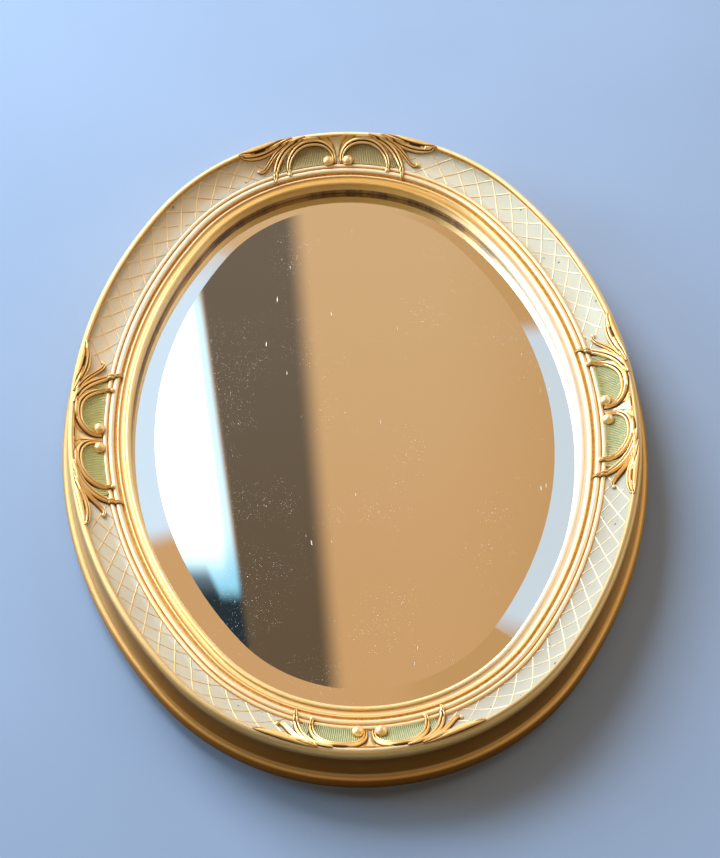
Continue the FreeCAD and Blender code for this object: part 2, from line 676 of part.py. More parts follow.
for arc in ARCS:
    hand_in(cartouche(arc), f"ornament_{arc}")
    hand_in(panel_pair(arc), f"ribbed_panels_{arc}")
for arc, segment in segments.items():
    hand_in(segment, f"frame_segment_{arc}")
hand_in(tongue_set, "joint_tongues")
hand_in(plate, "mirror_plate")
hand_in(boards["card"], "backing_card")
hand_in(boards["board"], "back_board")
for index, (button, (x, z), (arc, lean, turn)) in enumerate(zip(buttons, BUTTON_SPOTS, BUTTONS)):
    hand_in(button, f"turn_button_{index + 1}", x, "Sizes.button_lift", z, turn)
hand_in(button_screws, "turn_button_screws")
hand_in(strap, "hanger_strap")
hand_in(strap_screws, "hanger_screws")
hand_in(ring, "hanging_ring", "0", KNUCKLE_Y, KNUCKLE_Z, RING_LEAN, ACROSS)
for name, (bumper, (x, z)) in bumpers.items():
    hand_in(bumper, f"bumper_{name}", x, "0", z)
doc.recompute()

# Every feature must be sound before any piece is written.
for item in doc.Objects:
    if "Invalid" in item.State or "Error" in item.State:
        raise RuntimeError(f"{item.Name} did not build: {item.State}")
os.makedirs("parts", exist_ok=True)
for item in pieces:
    if item.Shape.isNull() or not item.Shape.isValid() or not item.Shape.Solids:
        raise RuntimeError(f"{item.Label} is not a sound solid")
    item.Shape.exportStep(f"parts/{item.Label}.step")
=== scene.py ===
"""Oval wall mirror: a gilt moulding with a cream frieze, four scroll cartouches and a bevelled plate.

Metres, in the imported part's own frame: +X right, +Z up, the mirror faces -Y and hangs on a wall behind it.
"""
import math

import bmesh
import bpy
import numpy as np
from mathutils import Matrix, Vector


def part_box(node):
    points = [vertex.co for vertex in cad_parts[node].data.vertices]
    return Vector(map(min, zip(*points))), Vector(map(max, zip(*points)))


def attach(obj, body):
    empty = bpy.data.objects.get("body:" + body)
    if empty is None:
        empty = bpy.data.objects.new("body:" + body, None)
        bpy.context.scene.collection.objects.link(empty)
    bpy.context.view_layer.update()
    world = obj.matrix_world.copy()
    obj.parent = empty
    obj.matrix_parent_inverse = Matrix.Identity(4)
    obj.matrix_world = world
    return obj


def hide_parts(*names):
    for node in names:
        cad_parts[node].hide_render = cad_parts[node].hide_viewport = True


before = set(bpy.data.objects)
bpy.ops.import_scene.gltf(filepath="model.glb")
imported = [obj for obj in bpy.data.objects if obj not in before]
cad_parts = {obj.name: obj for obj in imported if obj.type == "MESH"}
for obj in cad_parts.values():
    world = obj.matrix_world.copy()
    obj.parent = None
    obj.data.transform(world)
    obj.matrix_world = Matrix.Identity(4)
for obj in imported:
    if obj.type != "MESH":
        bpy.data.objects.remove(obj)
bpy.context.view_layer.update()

bl_info = {
    "name": "Oval wall mirror",
    "version": (1, 0, 0),
    "blender": (4, 5, 0),
    "location": "View3D > Sidebar > Mirror",
    "description": "Dresses an oval gilt wall mirror over its packed parts",
    "category": "Object",
}

MM = 0.001
BOARD_LOW, BOARD_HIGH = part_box("back_board")
CENTRE_Z = (BOARD_LOW[2] + BOARD_HIGH[2]) / 2
BACK_Y = BOARD_HIGH[1]
WALL_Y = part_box("bumper_left")[1][1]

# Moulding section: inset from the outline, height over the back, and bulge of the edge that follows, in mm.
SECTION = (
    (3.0, 0.0, 3.0), (3.0, 12.0, 0.0), (4.4, 12.0, 0.0), (4.4, 15.5, -3.0), (7.6, 37.0, 1.5),
    (10.9, 43.2, 0.75), (13.2, 41.0, 0.0), (13.2, 39.6, -1.8), (35.0, 28.7, 1.7), (39.3, 28.2, 1.7),
    (44.4, 28.2, 0.0), (44.9, 26.8, 0.0), (46.3, 26.8, 1.0), (48.7, 26.8, -0.5), (52.8, 26.8, 1.7),
    (57.5, 25.8, 0.0), (57.5, 16.5, 0.0), (50.5, 16.5, 0.0), (50.5, 0.0, 0.0),
)
# Step along its curves and its flats, and the most steps on one edge.
CURVE_STEP, FLAT_STEP, MOST_STEPS = 0.55, 4.0, 14
# Insets and heights of the section's zones, in mm.
FRIEZE_TOP = 13.2
FRIEZE_FOOT = 35.0
TORUS_FOOT = 3.2
OUTER_SIDE = 12.0
CREST_EDGE = 12.5
REBATE_INSET = 50.0
GROOVES = (4.4, 13.2, 35.0, 39.3, 44.9, 46.3, 48.7, 52.8)
GROOVE_REACH = 0.9
BACK_TOP = 0.2
TORUS_TOP = 15.6
# Height under which the outer side's grooves are darkened, as patina and painted shade.
DARK_GROOVE_TOP = 18.0
SIGHT_LOW = 21.0
FACE_LOW = 24.0
CREST_LOW = 40.9
# Marks instead of an inset, on the wall under the sight edge and on the bare back.
SIGHT_WALL = 61.0
BARE_BACK = -10.0
# How dark the outer side is at its heights, on the torus and from the cove up: its dark patina, painted
# shade where the roll turns under, and a lighter fillet as a painted highlight line.
TORUS_DARK = ((10.5, 12.0), (1.0, 0.64))
COVE_DARK = ((29.0, 35.0, 42.0, 42.5), (1.0, 0.5, 0.5, 0.0))

# Half cartouche: way along the outline from its middle, inset and half width of each strand, in mm.
SCROLL = (
    (3.7, 35.0, 1.6), (3.7, 30.5, 2.1), (5.0, 25.0, 2.6), (9.0, 19.8, 2.9), (15.5, 16.4, 3.0),
    (24.0, 15.1, 3.0), (33.0, 15.7, 3.0), (41.0, 18.7, 3.0), (47.5, 23.7, 2.9), (51.6, 29.6, 2.7),
    (53.6, 35.5, 2.3), (54.0, 40.3, 1.4),
)
LONG_LEAF = (
    (30.0, 11.8, 0.8), (40.0, 13.4, 2.1), (49.0, 16.4, 2.9), (57.0, 21.4, 3.3), (63.5, 28.0, 3.3),
    (68.5, 35.5, 2.9), (71.5, 42.0, 1.9), (72.8, 45.5, 0.6),
)
CURLED_LEAF = (
    (44.0, 12.2, 0.8), (54.0, 14.9, 1.8), (62.0, 18.5, 2.1), (69.0, 23.0, 2.1), (75.0, 27.0, 2.0),
    (80.0, 28.8, 1.8), (83.0, 27.6, 1.3),
)
CREST_LEAF = (
    (42.0, 10.9, 0.9), (53.0, 12.1, 2.2), (63.0, 13.7, 3.6), (73.0, 14.6, 4.3), (82.0, 14.3, 3.9),
    (90.0, 13.0, 2.6), (96.0, 11.4, 0.5),
)
MIDDLE_FAN = ((0.0, 13.2, 9.5), (0.0, 15.2, 7.4), (0.0, 18.0, 4.6), (0.0, 23.0, 2.2), (0.0, 27.5, 1.2))
FAN_HEIGHT = 1.8 * MM
BALL = (10.4, 32.3)
# How far along the outline each cartouche sits from its arc's middle, in mm.
SHIFTS = {"top": 2.5, "right": -0.5, "bottom": -5.0, "left": -1.0}
# Grooves between a strand's ridges, its height at the tips and how deep its underside sits.
GROOVE_WIDTH = 0.42
GROOVE_DEPTH = 0.7
TIP_RISE = 0.25
STRAND_BASE = -1.0 * MM
# Thin grounds in the cartouches, and the shortest one that gets a rib.
PANEL_THICKNESS = 0.5 * MM
PANEL_SHADE = 0.3
GROUND_TOP = 12.6
PANEL_LAST_TOP = 35.2
PANEL_FOOT = 35.9
SHORTEST_RIB = 2.0
# Slanted lines of the frieze: run per inset, insets of the ends, and how near an arc's middle they come.
LATTICE_SLANT = 1.5
LATTICE_TOP = FRIEZE_TOP + 0.6
LATTICE_FOOT = FRIEZE_FOOT - 0.3
LATTICE_SINK = 0.12 * MM
LEAF_FOOT = 20.0
LEAF_REACH = 86.0
SCROLL_REACH = 66.0
# Fineness of the shapes.
PATH_STEPS = 560
WALL_STEPS = 160
KNOT_STEPS = 12
ROD_SIDES = 8
WELD = 1e-7
MOULDING_SHARP = 40.0
RELIEF_SHARP = 60.0


def length(name, description, millimetres):
    """A size that a user would change."""
    return bpy.props.FloatProperty(
        name=name, description=description, default=millimetres * MM, unit="LENGTH")


def tint(name, description, colour):
    """A colour that a user would change."""
    return bpy.props.FloatVectorProperty(
        name=name, description=description, default=colour, subtype="COLOR", size=3)


class MirrorSizes(bpy.types.PropertyGroup):
    """Sizes of the dressed pieces."""

    scroll_height: length("Scroll height", "Relief of the scrolls over the moulding", 4.0)
    leaf_height: length("Leaf height", "Relief of the leaves over the moulding", 3.6)
    ball_radius: length("Ball radius", "Radius of the ball at a scroll's foot", 5.0)
    rib_pitch: length("Rib pitch", "Distance between the green panels' ribs", 1.8)
    rib_radius: length("Rib radius", "Radius of a rib", 0.55)
    lattice_pitch: length("Lattice pitch", "Distance between the frieze's slanted lines", 22.5)
    lattice_radius: length("Lattice radius", "Half width of a slanted line", 0.52)


class MirrorColours(bpy.types.PropertyGroup):
    """Colours of the dressed pieces and of the wall."""

    gold: tint("Gold", "Bright gilding", (0.91, 0.67, 0.30))
    # Pale gold also stands for painted sheen on the right side.
    pale_gold: tint("Pale gold", "Rubbed gilding", (0.91, 0.81, 0.59))
    deep_gold: tint("Deep gold", "Gilding in the hollows", (0.64, 0.32, 0.07))
    cream: tint("Cream", "Paint of the frieze", (0.70, 0.685, 0.55))
    green: tint("Green", "Paint of the ribbed panels", (0.27, 0.35, 0.17))
    wall: tint("Wall", "Wall behind the mirror", (0.38, 0.53, 0.80))


def sizes():
    """The sizes held by the scene."""
    return bpy.context.scene.mirror_sizes


def colours():
    """The colours held by the scene."""
    return bpy.context.scene.mirror_colours


# Shader maths.
class Wire:
    """A value on a material's wires; arithmetic on it adds Math nodes."""

    def __init__(self, shader, socket):
        self.shader = shader
        self.socket = socket

    def math(self, operation, *others):
        """One Math node with this wire as its first value."""
        values = dict(enumerate((self,) + others))
        return self.shader.wire("ShaderNodeMath", 0, values, operation=operation)

    def __add__(self, other):
        return self.math("ADD", other)

    def __sub__(self, other):
        return self.math("SUBTRACT", other)

    def __rsub__(self, other):
        return (self * -1.0) + other

    def __mul__(self, other):
        return self.math("MULTIPLY", other)

    def between(self, low, high):
        """Smooth rise from 0 at low to 1 at high."""
        limits = {"Value": self, "From Min": low, "From Max": high}
        return self.shader.wire("ShaderNodeMapRange", "Result", limits, interpolation_type="SMOOTHSTEP")

    def within(self, low, rise, fall, high):
        """1 from rise to fall and 0 outside low and high, with smooth edges."""
        return self.between(low, rise) * (1.0 - self.between(fall, high))


class Shader:
    """A material, or a world, under construction."""

    def __init__(self, name, world=False):
        self.material = (bpy.data.worlds if world else bpy.data.materials).new(name)
        self.material.use_nodes = True
        self.tree = self.material.node_tree
        self.tree.nodes.clear()
        self.output = self.tree.nodes.new("ShaderNodeOutputWorld" if world else "ShaderNodeOutputMaterial")

    def node(self, kind, inputs, **settings):
        """Any node: its type, its sockets' values or wires, then its settings."""
        node = self.tree.nodes.new(kind)
        for name, value in settings.items():
            setattr(node, name, value)
        for name, value in inputs.items():
            if isinstance(value, Wire):
                self.tree.links.new(value.socket, node.inputs[name])
            else:
                node.inputs[name].default_value = value
        return node

    def wire(self, kind, output, inputs=None, **settings):
        """One output of any node."""
        return Wire(self, self.node(kind, inputs or {}, **settings).outputs[output])

    def place(self, space="Object"):
        """Coordinates of a spot."""
        return self.wire("ShaderNodeTexCoord", space)

    def axes(self, vector):
        """X, Y and Z of a vector."""
        parts = self.node("ShaderNodeSeparateXYZ", {"Vector": vector})
        return [Wire(self, socket) for socket in parts.outputs]

    def towards(self, right, up):
        """How far a spot lies from the mirror's middle, in metres, along a way right and up."""
        x, _, z = self.axes(self.place())
        return x * right + (z - CENTRE_Z) * up

    def attribute(self, name):
        """A number held on the mesh."""
        return self.wire("ShaderNodeAttribute", "Fac", attribute_name=name)

    def noise(self, scale, detail=4.0, roughness=0.6, vector=None):
        """Fractal noise, 0 to 1."""
        return self.wire("ShaderNodeTexNoise", "Fac", {
            "Vector": vector or self.place(), "Scale": scale, "Detail": detail, "Roughness": roughness})

    def stretched(self, scale, rotation=(0.0, 0.0, 0.0)):
        """Object coordinates, turned and stretched."""
        inputs = {"Vector": self.place(), "Scale": scale, "Rotation": rotation}
        return self.wire("ShaderNodeMapping", 0, inputs)

    def mix(self, factor, first, second):
        """Colour between two colours."""
        inputs = {0: factor, 6: opaque(first), 7: opaque(second)}
        return self.wire("ShaderNodeMix", 2, inputs, data_type="RGBA")

    def coats(self, colour, *coats):
        """A colour with others laid over it in turn, each by its own mask."""
        for mask, coat in coats:
            colour = self.mix(mask, colour, coat)
        return colour

    def bump(self, height):
        """Normal of a faintly uneven surface."""
        inputs = {"Strength": 0.15, "Distance": 0.5 * MM, "Height": height}
        return self.wire("ShaderNodeBump", "Normal", inputs)

    def close(self, node):
        """Make a node the whole surface."""
        self.tree.links.new(node.outputs[0], self.output.inputs[0])
        return self.material

    def finish(self, **inputs):
        """Principled surface from named sockets, with _ for a space."""
        values = {name.replace("_", " "): opaque(value) for name, value in inputs.items()}
        return self.close(self.node("ShaderNodeBsdfPrincipled", values))

    def glow(self, colour, kind="ShaderNodeEmission"):
        """Even light of a colour."""
        return self.close(self.node(kind, {"Color": opaque(colour), "Strength": 1.0}))


def opaque(value):
    """A colour with full alpha where a bare one is given."""
    if isinstance(value, (Wire, float, int)):
        return value
    return tuple(value) + (1.0,) * (4 - len(tuple(value)))


# Oval and moulding.
HALF_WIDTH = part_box("frame_segment_right")[1][0]
HALF_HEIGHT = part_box("frame_segment_top")[1][2] - CENTRE_Z
JOINT_SLOPE = 0.75
SIDE_CENTRE = (HALF_HEIGHT - HALF_WIDTH) / (1 + JOINT_SLOPE - math.hypot(1, JOINT_SLOPE))
END_CENTRE = JOINT_SLOPE * SIDE_CENTRE
SIDE_RADIUS = HALF_WIDTH + SIDE_CENTRE
END_RADIUS = HALF_HEIGHT - END_CENTRE
JOINT_ANGLE = math.atan(JOINT_SLOPE)
ARCS = ("top", "right", "bottom", "left")


def half_arc(arc):
    """Length of an arc's outline from its middle to a joint."""
    if arc in ("top", "bottom"):
        return (math.pi / 2 - JOINT_ANGLE) * END_RADIUS
    return JOINT_ANGLE * SIDE_RADIUS


def on_arc(arc, along, inset, height):
    """Point by its way along an arc from the arc's middle, its inset and its height over the back."""
    if arc in ("top", "bottom"):
        lean = along / END_RADIUS
        x = (END_RADIUS - inset) * math.sin(lean)
        z = END_CENTRE + (END_RADIUS - inset) * math.cos(lean)
        return Vector((x, BACK_Y - height, CENTRE_Z + (z if arc == "top" else -z)))
    lean = along / SIDE_RADIUS
    x = (SIDE_RADIUS - inset) * math.cos(lean) - SIDE_CENTRE
    z = (SIDE_RADIUS - inset) * math.sin(lean)
    return Vector((x if arc == "right" else -x, BACK_Y - height, CENTRE_Z + z))


def bent(start, end, bulge, steps):
    """Points from start up to end, on a circle that bulges to the left of the way."""
    start, end = Vector(start), Vector(end)
    if bulge == 0:
        return [start + (end - start) * (step / steps) for step in range(steps)]
    chord = end - start
    left = Vector((-chord.y, chord.x)).normalized()
    radius = chord.length ** 2 / (8 * abs(bulge)) + abs(bulge) / 2
    half = math.asin(min(1.0, chord.length / 2 / radius))
    side = math.copysign(1, bulge)
    centre = (start + end) / 2 + left * (bulge - side * radius)
    points = []
    for step in range(steps):
        turn = half * (2 * step / steps - 1)
        forth = chord.normalized() * radius * math.sin(turn)
        points.append(centre + forth + left * side * radius * math.cos(turn))
    return points


def section_points():
    """Moulding section as (inset, height) points in metres, fine enough to render smoothly."""
    points = []
    for (inset, height, bulge), following in zip(SECTION, SECTION[1:] + SECTION[:1]):
        edge = math.hypot(following[0] - inset, following[1] - height)
        steps = max(1, min(MOST_STEPS, round(edge / (CURVE_STEP if bulge else FLAT_STEP))))
        points += bent((inset, height), following[:2], bulge, steps)
    return [Vector((point.x * MM, point.y * MM)) for point in points]


SECTION_POINTS = section_points()
FRONT = [
    point for point in SECTION_POINTS
    if point.y > (FACE_LOW if point.x > OUTER_SIDE * MM else CREST_LOW) * MM]
FRONT_INSETS = np.maximum.accumulate([point.x for point in FRONT])
FRONT_HEIGHTS = np.array([point.y for point in FRONT])
# How far about a spot the face's slope is measured, and the steepest slope that is followed.
SLOPE_REACH = 1.5 * MM
STEEPEST = 0.9


def face_height(inset):
    """Height of the moulding's front face at an inset."""
    return float(np.interp(inset, FRONT_INSETS, FRONT_HEIGHTS))


def on_face(arc, along, inset, lift):
    """Point over the moulding's front face, lifted square to it."""
    slope = (face_height(inset + SLOPE_REACH) - face_height(inset - SLOPE_REACH)) / (2 * SLOPE_REACH)
    slope = max(-STEEPEST, min(STEEPEST, slope))
    scale = 1 / math.hypot(1, slope)
    return on_arc(arc, along, inset - slope * scale * lift, face_height(inset) + scale * lift)


def smooth_way(points, steps):
    """Evenly spread samples of a Catmull-Rom curve through points of any width."""
    knots = np.array(points, dtype=float)
    padded = np.vstack([2 * knots[0] - knots[1], knots, 2 * knots[-1] - knots[-2]])
    samples = []
    for index in range(len(knots) - 1):
        before, start, end, after = padded[index:index + 4]
        for t in np.linspace(0, 1, KNOT_STEPS, endpoint=False):
            samples.append(0.5 * (
                2 * start + (end - before) * t + (2 * before - 5 * start + 4 * end - after) * t ** 2
                + (3 * start - before - 3 * end + after) * t ** 3))
    samples = np.array(samples + [knots[-1]])
    travel = np.concatenate([[0], np.cumsum(np.hypot(*np.diff(samples[:, :2], axis=0).T))])
    spread = np.linspace(0, travel[-1], steps)
    return np.stack([np.interp(spread, travel, column) for column in samples.T], axis=1)


def strand_inset(points, along, steps=160):
    """Inset of a strand's outer branch at a way along the outline, in mm."""
    way = smooth_way(points, steps)
    start = int(np.argmin(way[:, 0]))
    return float(np.interp(along, way[start:, 0], way[start:, 1]))


def add_object(name, data):
    """A new object in the scene."""
    added = bpy.data.objects.new(name, data)
    bpy.context.scene.collection.objects.link(added)
    return added


def add_piece(name, mesh, material, nodes=()):
    """A finished mesh as a piece of the object."""
    piece = add_object(name, mesh)
    mesh.materials.clear()
    mesh.materials.append(material)
    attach(piece, "frame")
    if nodes:
        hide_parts(*nodes)


def outward(mesh, sharp_degrees):
    """Merge doubles, point the faces outwards and shade smooth but for sharp corners."""
    shell = bmesh.new()
    shell.from_mesh(mesh)
    bmesh.ops.remove_doubles(shell, verts=shell.verts, dist=WELD)
    bmesh.ops.recalc_face_normals(shell, faces=shell.faces)
    shell.to_mesh(mesh)
    shell.free()
    mesh.shade_smooth()
    mesh.set_sharp_from_angle(angle=math.radians(sharp_degrees))


def finished_mesh(carrier, name):
    """Plain mesh of an object with its Geometry Nodes applied; the carrier is removed."""
    graph = bpy.context.evaluated_depsgraph_get()
    mesh = bpy.data.meshes.new_from_object(carrier.evaluated_get(graph))
    mesh.name = name
    bpy.data.objects.remove(carrier)
    return mesh


class NodeTree:
    """A Geometry Nodes tree under construction."""

    def __init__(self, name, inputs):
        self.tree = bpy.data.node_groups.new(name, "GeometryNodeTree")
        self.sockets = {}
        interface = self.tree.interface
        interface.new_socket("Geometry", in_out="INPUT", socket_type="NodeSocketGeometry")
        for label, kind in inputs:
            self.sockets[label] = interface.new_socket(label, in_out="INPUT", socket_type=kind).identifier
        interface.new_socket("Geometry", in_out="OUTPUT", socket_type="NodeSocketGeometry")
        self.given = self.tree.nodes.new("NodeGroupInput").outputs
        self.result = self.tree.nodes.new("NodeGroupOutput").inputs[0]

    def node(self, kind, **inputs):
        """First output of any node: its type, then its sockets' values or wires, with _ for a space."""
        node = self.tree.nodes.new(kind)
        for name, value in inputs.items():
            socket = node.inputs[name.replace("_", " ")]
            if isinstance(value, bpy.types.NodeSocket):
                self.tree.links.new(value, socket)
            else:
                socket.default_value = value
        return node.outputs[0]

    def close(self, geometry, material):
        """Realize the result and give it its material."""
        real = self.node("GeometryNodeRealizeInstances", Geometry=geometry)
        dressed = self.node("GeometryNodeSetMaterial", Geometry=real, Material=material)
        self.tree.links.new(dressed, self.result)

    def apply(self, carrier, **values):
        """Put the tree on an object with its inputs set."""
        modifier = carrier.modifiers.new(self.tree.name, "NODES")
        modifier.node_group = self.tree
        for label, value in values.items():
            modifier[self.sockets[label.replace("_", " ")]] = value


def sweep_tree():
    """Tree that sweeps a section round a flat path and stands the result up against the wall."""
    tree = NodeTree("Moulding sweep", (
        ("Section", "NodeSocketObject"), ("Seat", "NodeSocketVector"), ("Finish", "NodeSocketMaterial")))
    section = tree.node("GeometryNodeObjectInfo", Object=tree.given["Section"]).node.outputs["Geometry"]
    outline = tree.node("GeometryNodeMeshToCurve", Mesh=section)
    swept = tree.node("GeometryNodeCurveToMesh", Curve=tree.given["Geometry"], Profile_Curve=outline)
    upright = (math.radians(90), 0.0, 0.0)
    stood = tree.node(
        "GeometryNodeTransform", Geometry=swept, Translation=tree.given["Seat"], Rotation=upright)
    tree.close(stood, tree.given["Finish"])
    return tree


def rod_tree():
    """Tree that turns lines into round rods."""
    tree = NodeTree("Rods on lines", (("Radius", "NodeSocketFloat"), ("Finish", "NodeSocketMaterial")))
    line = tree.node("GeometryNodeMeshToCurve", Mesh=tree.given["Geometry"])
    ring = tree.node("GeometryNodeCurvePrimitiveCircle", Resolution=ROD_SIDES, Radius=tree.given["Radius"])
    rods = tree.node("GeometryNodeCurveToMesh", Curve=line, Profile_Curve=ring, Fill_Caps=True)
    tree.close(rods, tree.given["Finish"])
    return tree


def line_carrier(name, lines):
    """Loose object that holds lines of points as edges."""
    spots, edges = [], []
    for line in lines:
        first = len(spots)
        spots += line
        edges += [(first + step, first + step + 1) for step in range(len(line) - 1)]
    mesh = bpy.data.meshes.new(name)
    mesh.from_pydata(spots, edges, [])
    return add_object(name, mesh)


def add_rods(tree, name, lines, radius, finish):
    """Round rods along lines, as one piece."""
    carrier = line_carrier(f"{name}_lines", lines)
    tree.apply(carrier, Radius=radius, Finish=finish)
    mesh = finished_mesh(carrier, name)
    outward(mesh, RELIEF_SHARP)
    add_piece(name, mesh, finish)


# Finishes.
def gilt_colour(shader, patch, speck, hollow, rubbed_and_sheen):
    """Old gold leaf: bright on the swells, pale where rubbed and where sheen is painted, red-brown in the
    hollows and black-brown at their bottom, partly patina and partly painted shade.
    """
    return shader.coats(
        colours().gold,
        (rubbed_and_sheen, colours().pale_gold),
        (patch.between(0.35, 0.72) * (1.0 - rubbed_and_sheen * 0.6), (0.93, 0.62, 0.22)),
        (speck.between(0.62, 0.80) * 0.45, (0.60, 0.28, 0.07)),
        (hollow.between(0.1, 0.45), (0.86, 0.52, 0.15)),
        (hollow.between(0.4, 0.75), colours().deep_gold),
        ((hollow + (speck - 0.5) * 0.4).between(0.52, 0.84), (0.11, 0.05, 0.016)))


def gilding():
    """Gold leaf of the cartouches."""
    shader = Shader("cartouche_gold")
    hollow = shader.attribute("hollow")
    patch = shader.noise(38.0)
    speck = shader.noise(420.0, detail=3.0)
    # Paler gold: painted sheen on the right side, and rubbed gilding with a painted highlight on the crowns.
    rubbed_and_sheen = shader.towards(1.0, 0.0).between(0.0, 0.22) * 0.25 + (1.0 - hollow.between(0.0, 0.22)) * 0.45
    grime = hollow.between(0.6, 1.0)
    return shader.finish(
        Base_Color=gilt_colour(shader, patch, speck, hollow, rubbed_and_sheen), Metallic=0.66 - grime * 0.5,
        Roughness=grime * 0.3 + patch * 0.2 + 0.24, Normal=shader.bump(speck))


def frieze_paint(shader, inset, blotch, speck):
    """Cream paint, dirty at its edges and pitted, with painted light lighter and yellower at the upper left
    and pale on the left of its foot, and painted shade greyer at the lower right.
    """
    middle = inset.within(FRIEZE_TOP + 0.2, FRIEZE_TOP + 4.5, FRIEZE_FOOT - 5.0, FRIEZE_FOOT)
    dirt = (1.0 - middle) * (blotch + speck * 0.5).between(0.62, 0.95)
    foot = inset.between(FRIEZE_FOOT - 6.0, FRIEZE_FOOT - 2.0)
    return shader.coats(
        colours().cream,
        (blotch.between(0.35, 0.75), (0.64, 0.60, 0.46)),
        # Painted light: lighter and yellower at the upper left.
        (shader.towards(-1.0, 1.0).between(0.0, 0.32) * middle, (0.97, 0.85, 0.63)),
        # Painted shade: greyer and darker at the lower right.
        (shader.towards(1.0, -1.0).between(0.05, 0.35), (0.49, 0.475, 0.395)),
        # Painted light: the foot pale and bluish on the left.
        (foot * shader.towards(-1.0, 0.3).between(-0.1, 0.2) * 0.8, (0.82, 0.86, 0.80)),
        (dirt * 0.6, (0.42, 0.41, 0.32)),
        (speck.between(0.70, 0.78) * 0.35, (0.30, 0.25, 0.17)),
        (shader.noise(240.0, detail=0.0).between(0.83, 0.85) * 0.8, (0.10, 0.09, 0.07)))


def moulding_finish():
    """Gilt moulding with its frieze painted cream, told apart by the section's own numbers, with light and
    shade painted on parts of the oval.
    """
    shader = Shader("gilt_and_cream")
    inset, hollow, side = [shader.attribute(name) for name in ("inset", "hollow", "side")]
    patch = shader.noise(34.0)
    speck = shader.noise(380.0, detail=3.0)
    blotch = shader.noise(11.0, detail=5.0)
    streak = shader.noise(26.0, detail=6.0, roughness=0.7)
    # Zones of the section.
    gilded = inset.between(-8.0, -1.0)
    reeds = inset.between(5.0, 10.0)
    painted = inset.within(FRIEZE_TOP, FRIEZE_TOP + 0.7, FRIEZE_FOOT - 0.5, FRIEZE_FOOT)
    inner = inset.between(48.2, 49.4)
    sight_wall = inset.between(57.6, 58.3)
    grime = hollow.between(0.6, 1.0) * (1.0 - painted)
    # Parts of the oval, where light and shade are painted.
    downwards = shader.towards(0.0, -1.0)
    top = shader.towards(0.0, 1.0).between(0.12, 0.26)
    left = shader.towards(-1.0, 0.15).between(0.10, 0.23)
    right = shader.towards(1.0, 0.0).between(0.0, 0.20)
    upper_left = shader.towards(-1.0, 0.8).between(0.08, 0.32)
    lower_left = shader.towards(-1.0, -0.35).between(0.12, 0.24)
    lower_right = shader.towards(1.0, -0.45).between(0.10, 0.25)
    upper_wall = shader.towards(-0.45, 1.0).between(0.05, 0.16)
    # Paler gold: rubbed gilding overall and on the reeds, and painted sheen on the right side.
    rubbed_and_sheen = (reeds * 0.3 + right * 0.3 + 0.35) * (1.0 - inner * (1.0 - right) * 0.6)
    swells = reeds * (1.0 - inner) * (1.0 - hollow.between(0.1, 0.5))
    low_crest = (1.0 - reeds - side.between(0.0, 0.2)) * downwards.between(-0.02, 0.25)
    under = side.between(0.8, 1.0) * downwards.between(0.12, 0.28)
    # Mottled dark brown, the painted shade of the wall under the sight edge at the top.
    mottled_shade = shader.mix((patch + speck * 0.4).between(0.5, 0.9), (0.40, 0.19, 0.04), (0.09, 0.042, 0.012))
    brown = shader.mix(patch.between(0.3, 0.7), (0.44, 0.18, 0.028), (0.35, 0.14, 0.020))
    bare = shader.mix(streak.between(0.3, 0.7), (0.46, 0.30, 0.15), (0.30, 0.18, 0.08))
    gilt = shader.coats(
        gilt_colour(shader, patch, speck, hollow, rubbed_and_sheen),
        # Painted highlight: the inner beads near white on the right.
        (inner * right * 0.8, (1.0, 0.95, 0.81)),
        # Painted highlight: the swells of the reeds paler at the upper left.
        (swells * upper_left * 0.75, (1.0, 0.93, 0.74)),
        # Painted shade: the inner beads darker orange at the top.
        (inner * top, (0.68, 0.40, 0.11)),
        # Painted shade: the crest duller and darker on the lower half.
        (low_crest * 0.65, (0.62, 0.53, 0.36)),
        # Painted shade: the crest and outer side darker at the lower left and the lower right.
        ((1.0 - reeds) * lower_left * 0.9, (0.54, 0.36, 0.155)),
        ((1.0 - reeds) * lower_right * 0.8, (0.42, 0.28, 0.11)),
        # Painted light: the wall under the sight edge paler on the right; painted shade on it at the top.
        (sight_wall * right * 0.9, (0.66, 0.58, 0.44)),
        (sight_wall * upper_wall, mottled_shade),
        # Outer side, gold over dark brown patina by its side value: painted shade darker at the lower left,
        # and a painted reflection lighter orange at the lower right.
        (side.between(0.0, 0.45), shader.mix(lower_left, (0.92, 0.62, 0.22), (0.52, 0.31, 0.10))),
        (side.between(0.45, 1.0), shader.mix(lower_right * 0.6, brown, (0.66, 0.36, 0.095))),
        # Painted light: the upper roll paler on the left.
        (left * side.between(0.0, 0.2) * 0.5, (0.70, 0.50, 0.25)),
        # Painted shade: the outer side darkest at the bottom.
        (under * 0.8, (0.24, 0.095, 0.014)))
    colour = shader.mix(painted, gilt, frieze_paint(shader, inset, blotch, speck))
    metal = 0.42 - grime * 0.2 + side.between(0.0, 0.3) * 0.52 - upper_left * reeds * 0.2
    return shader.finish(
        Base_Color=shader.mix(gilded, bare, colour), Metallic=gilded * (1.0 - painted) * metal,
        Roughness=painted * 0.2 + grime * 0.25 + patch * 0.2 + 0.27 + (1.0 - reeds) * 0.17,
        Specular_IOR_Level=0.35, Normal=shader.bump(speck * (1.0 - side * 0.8)))


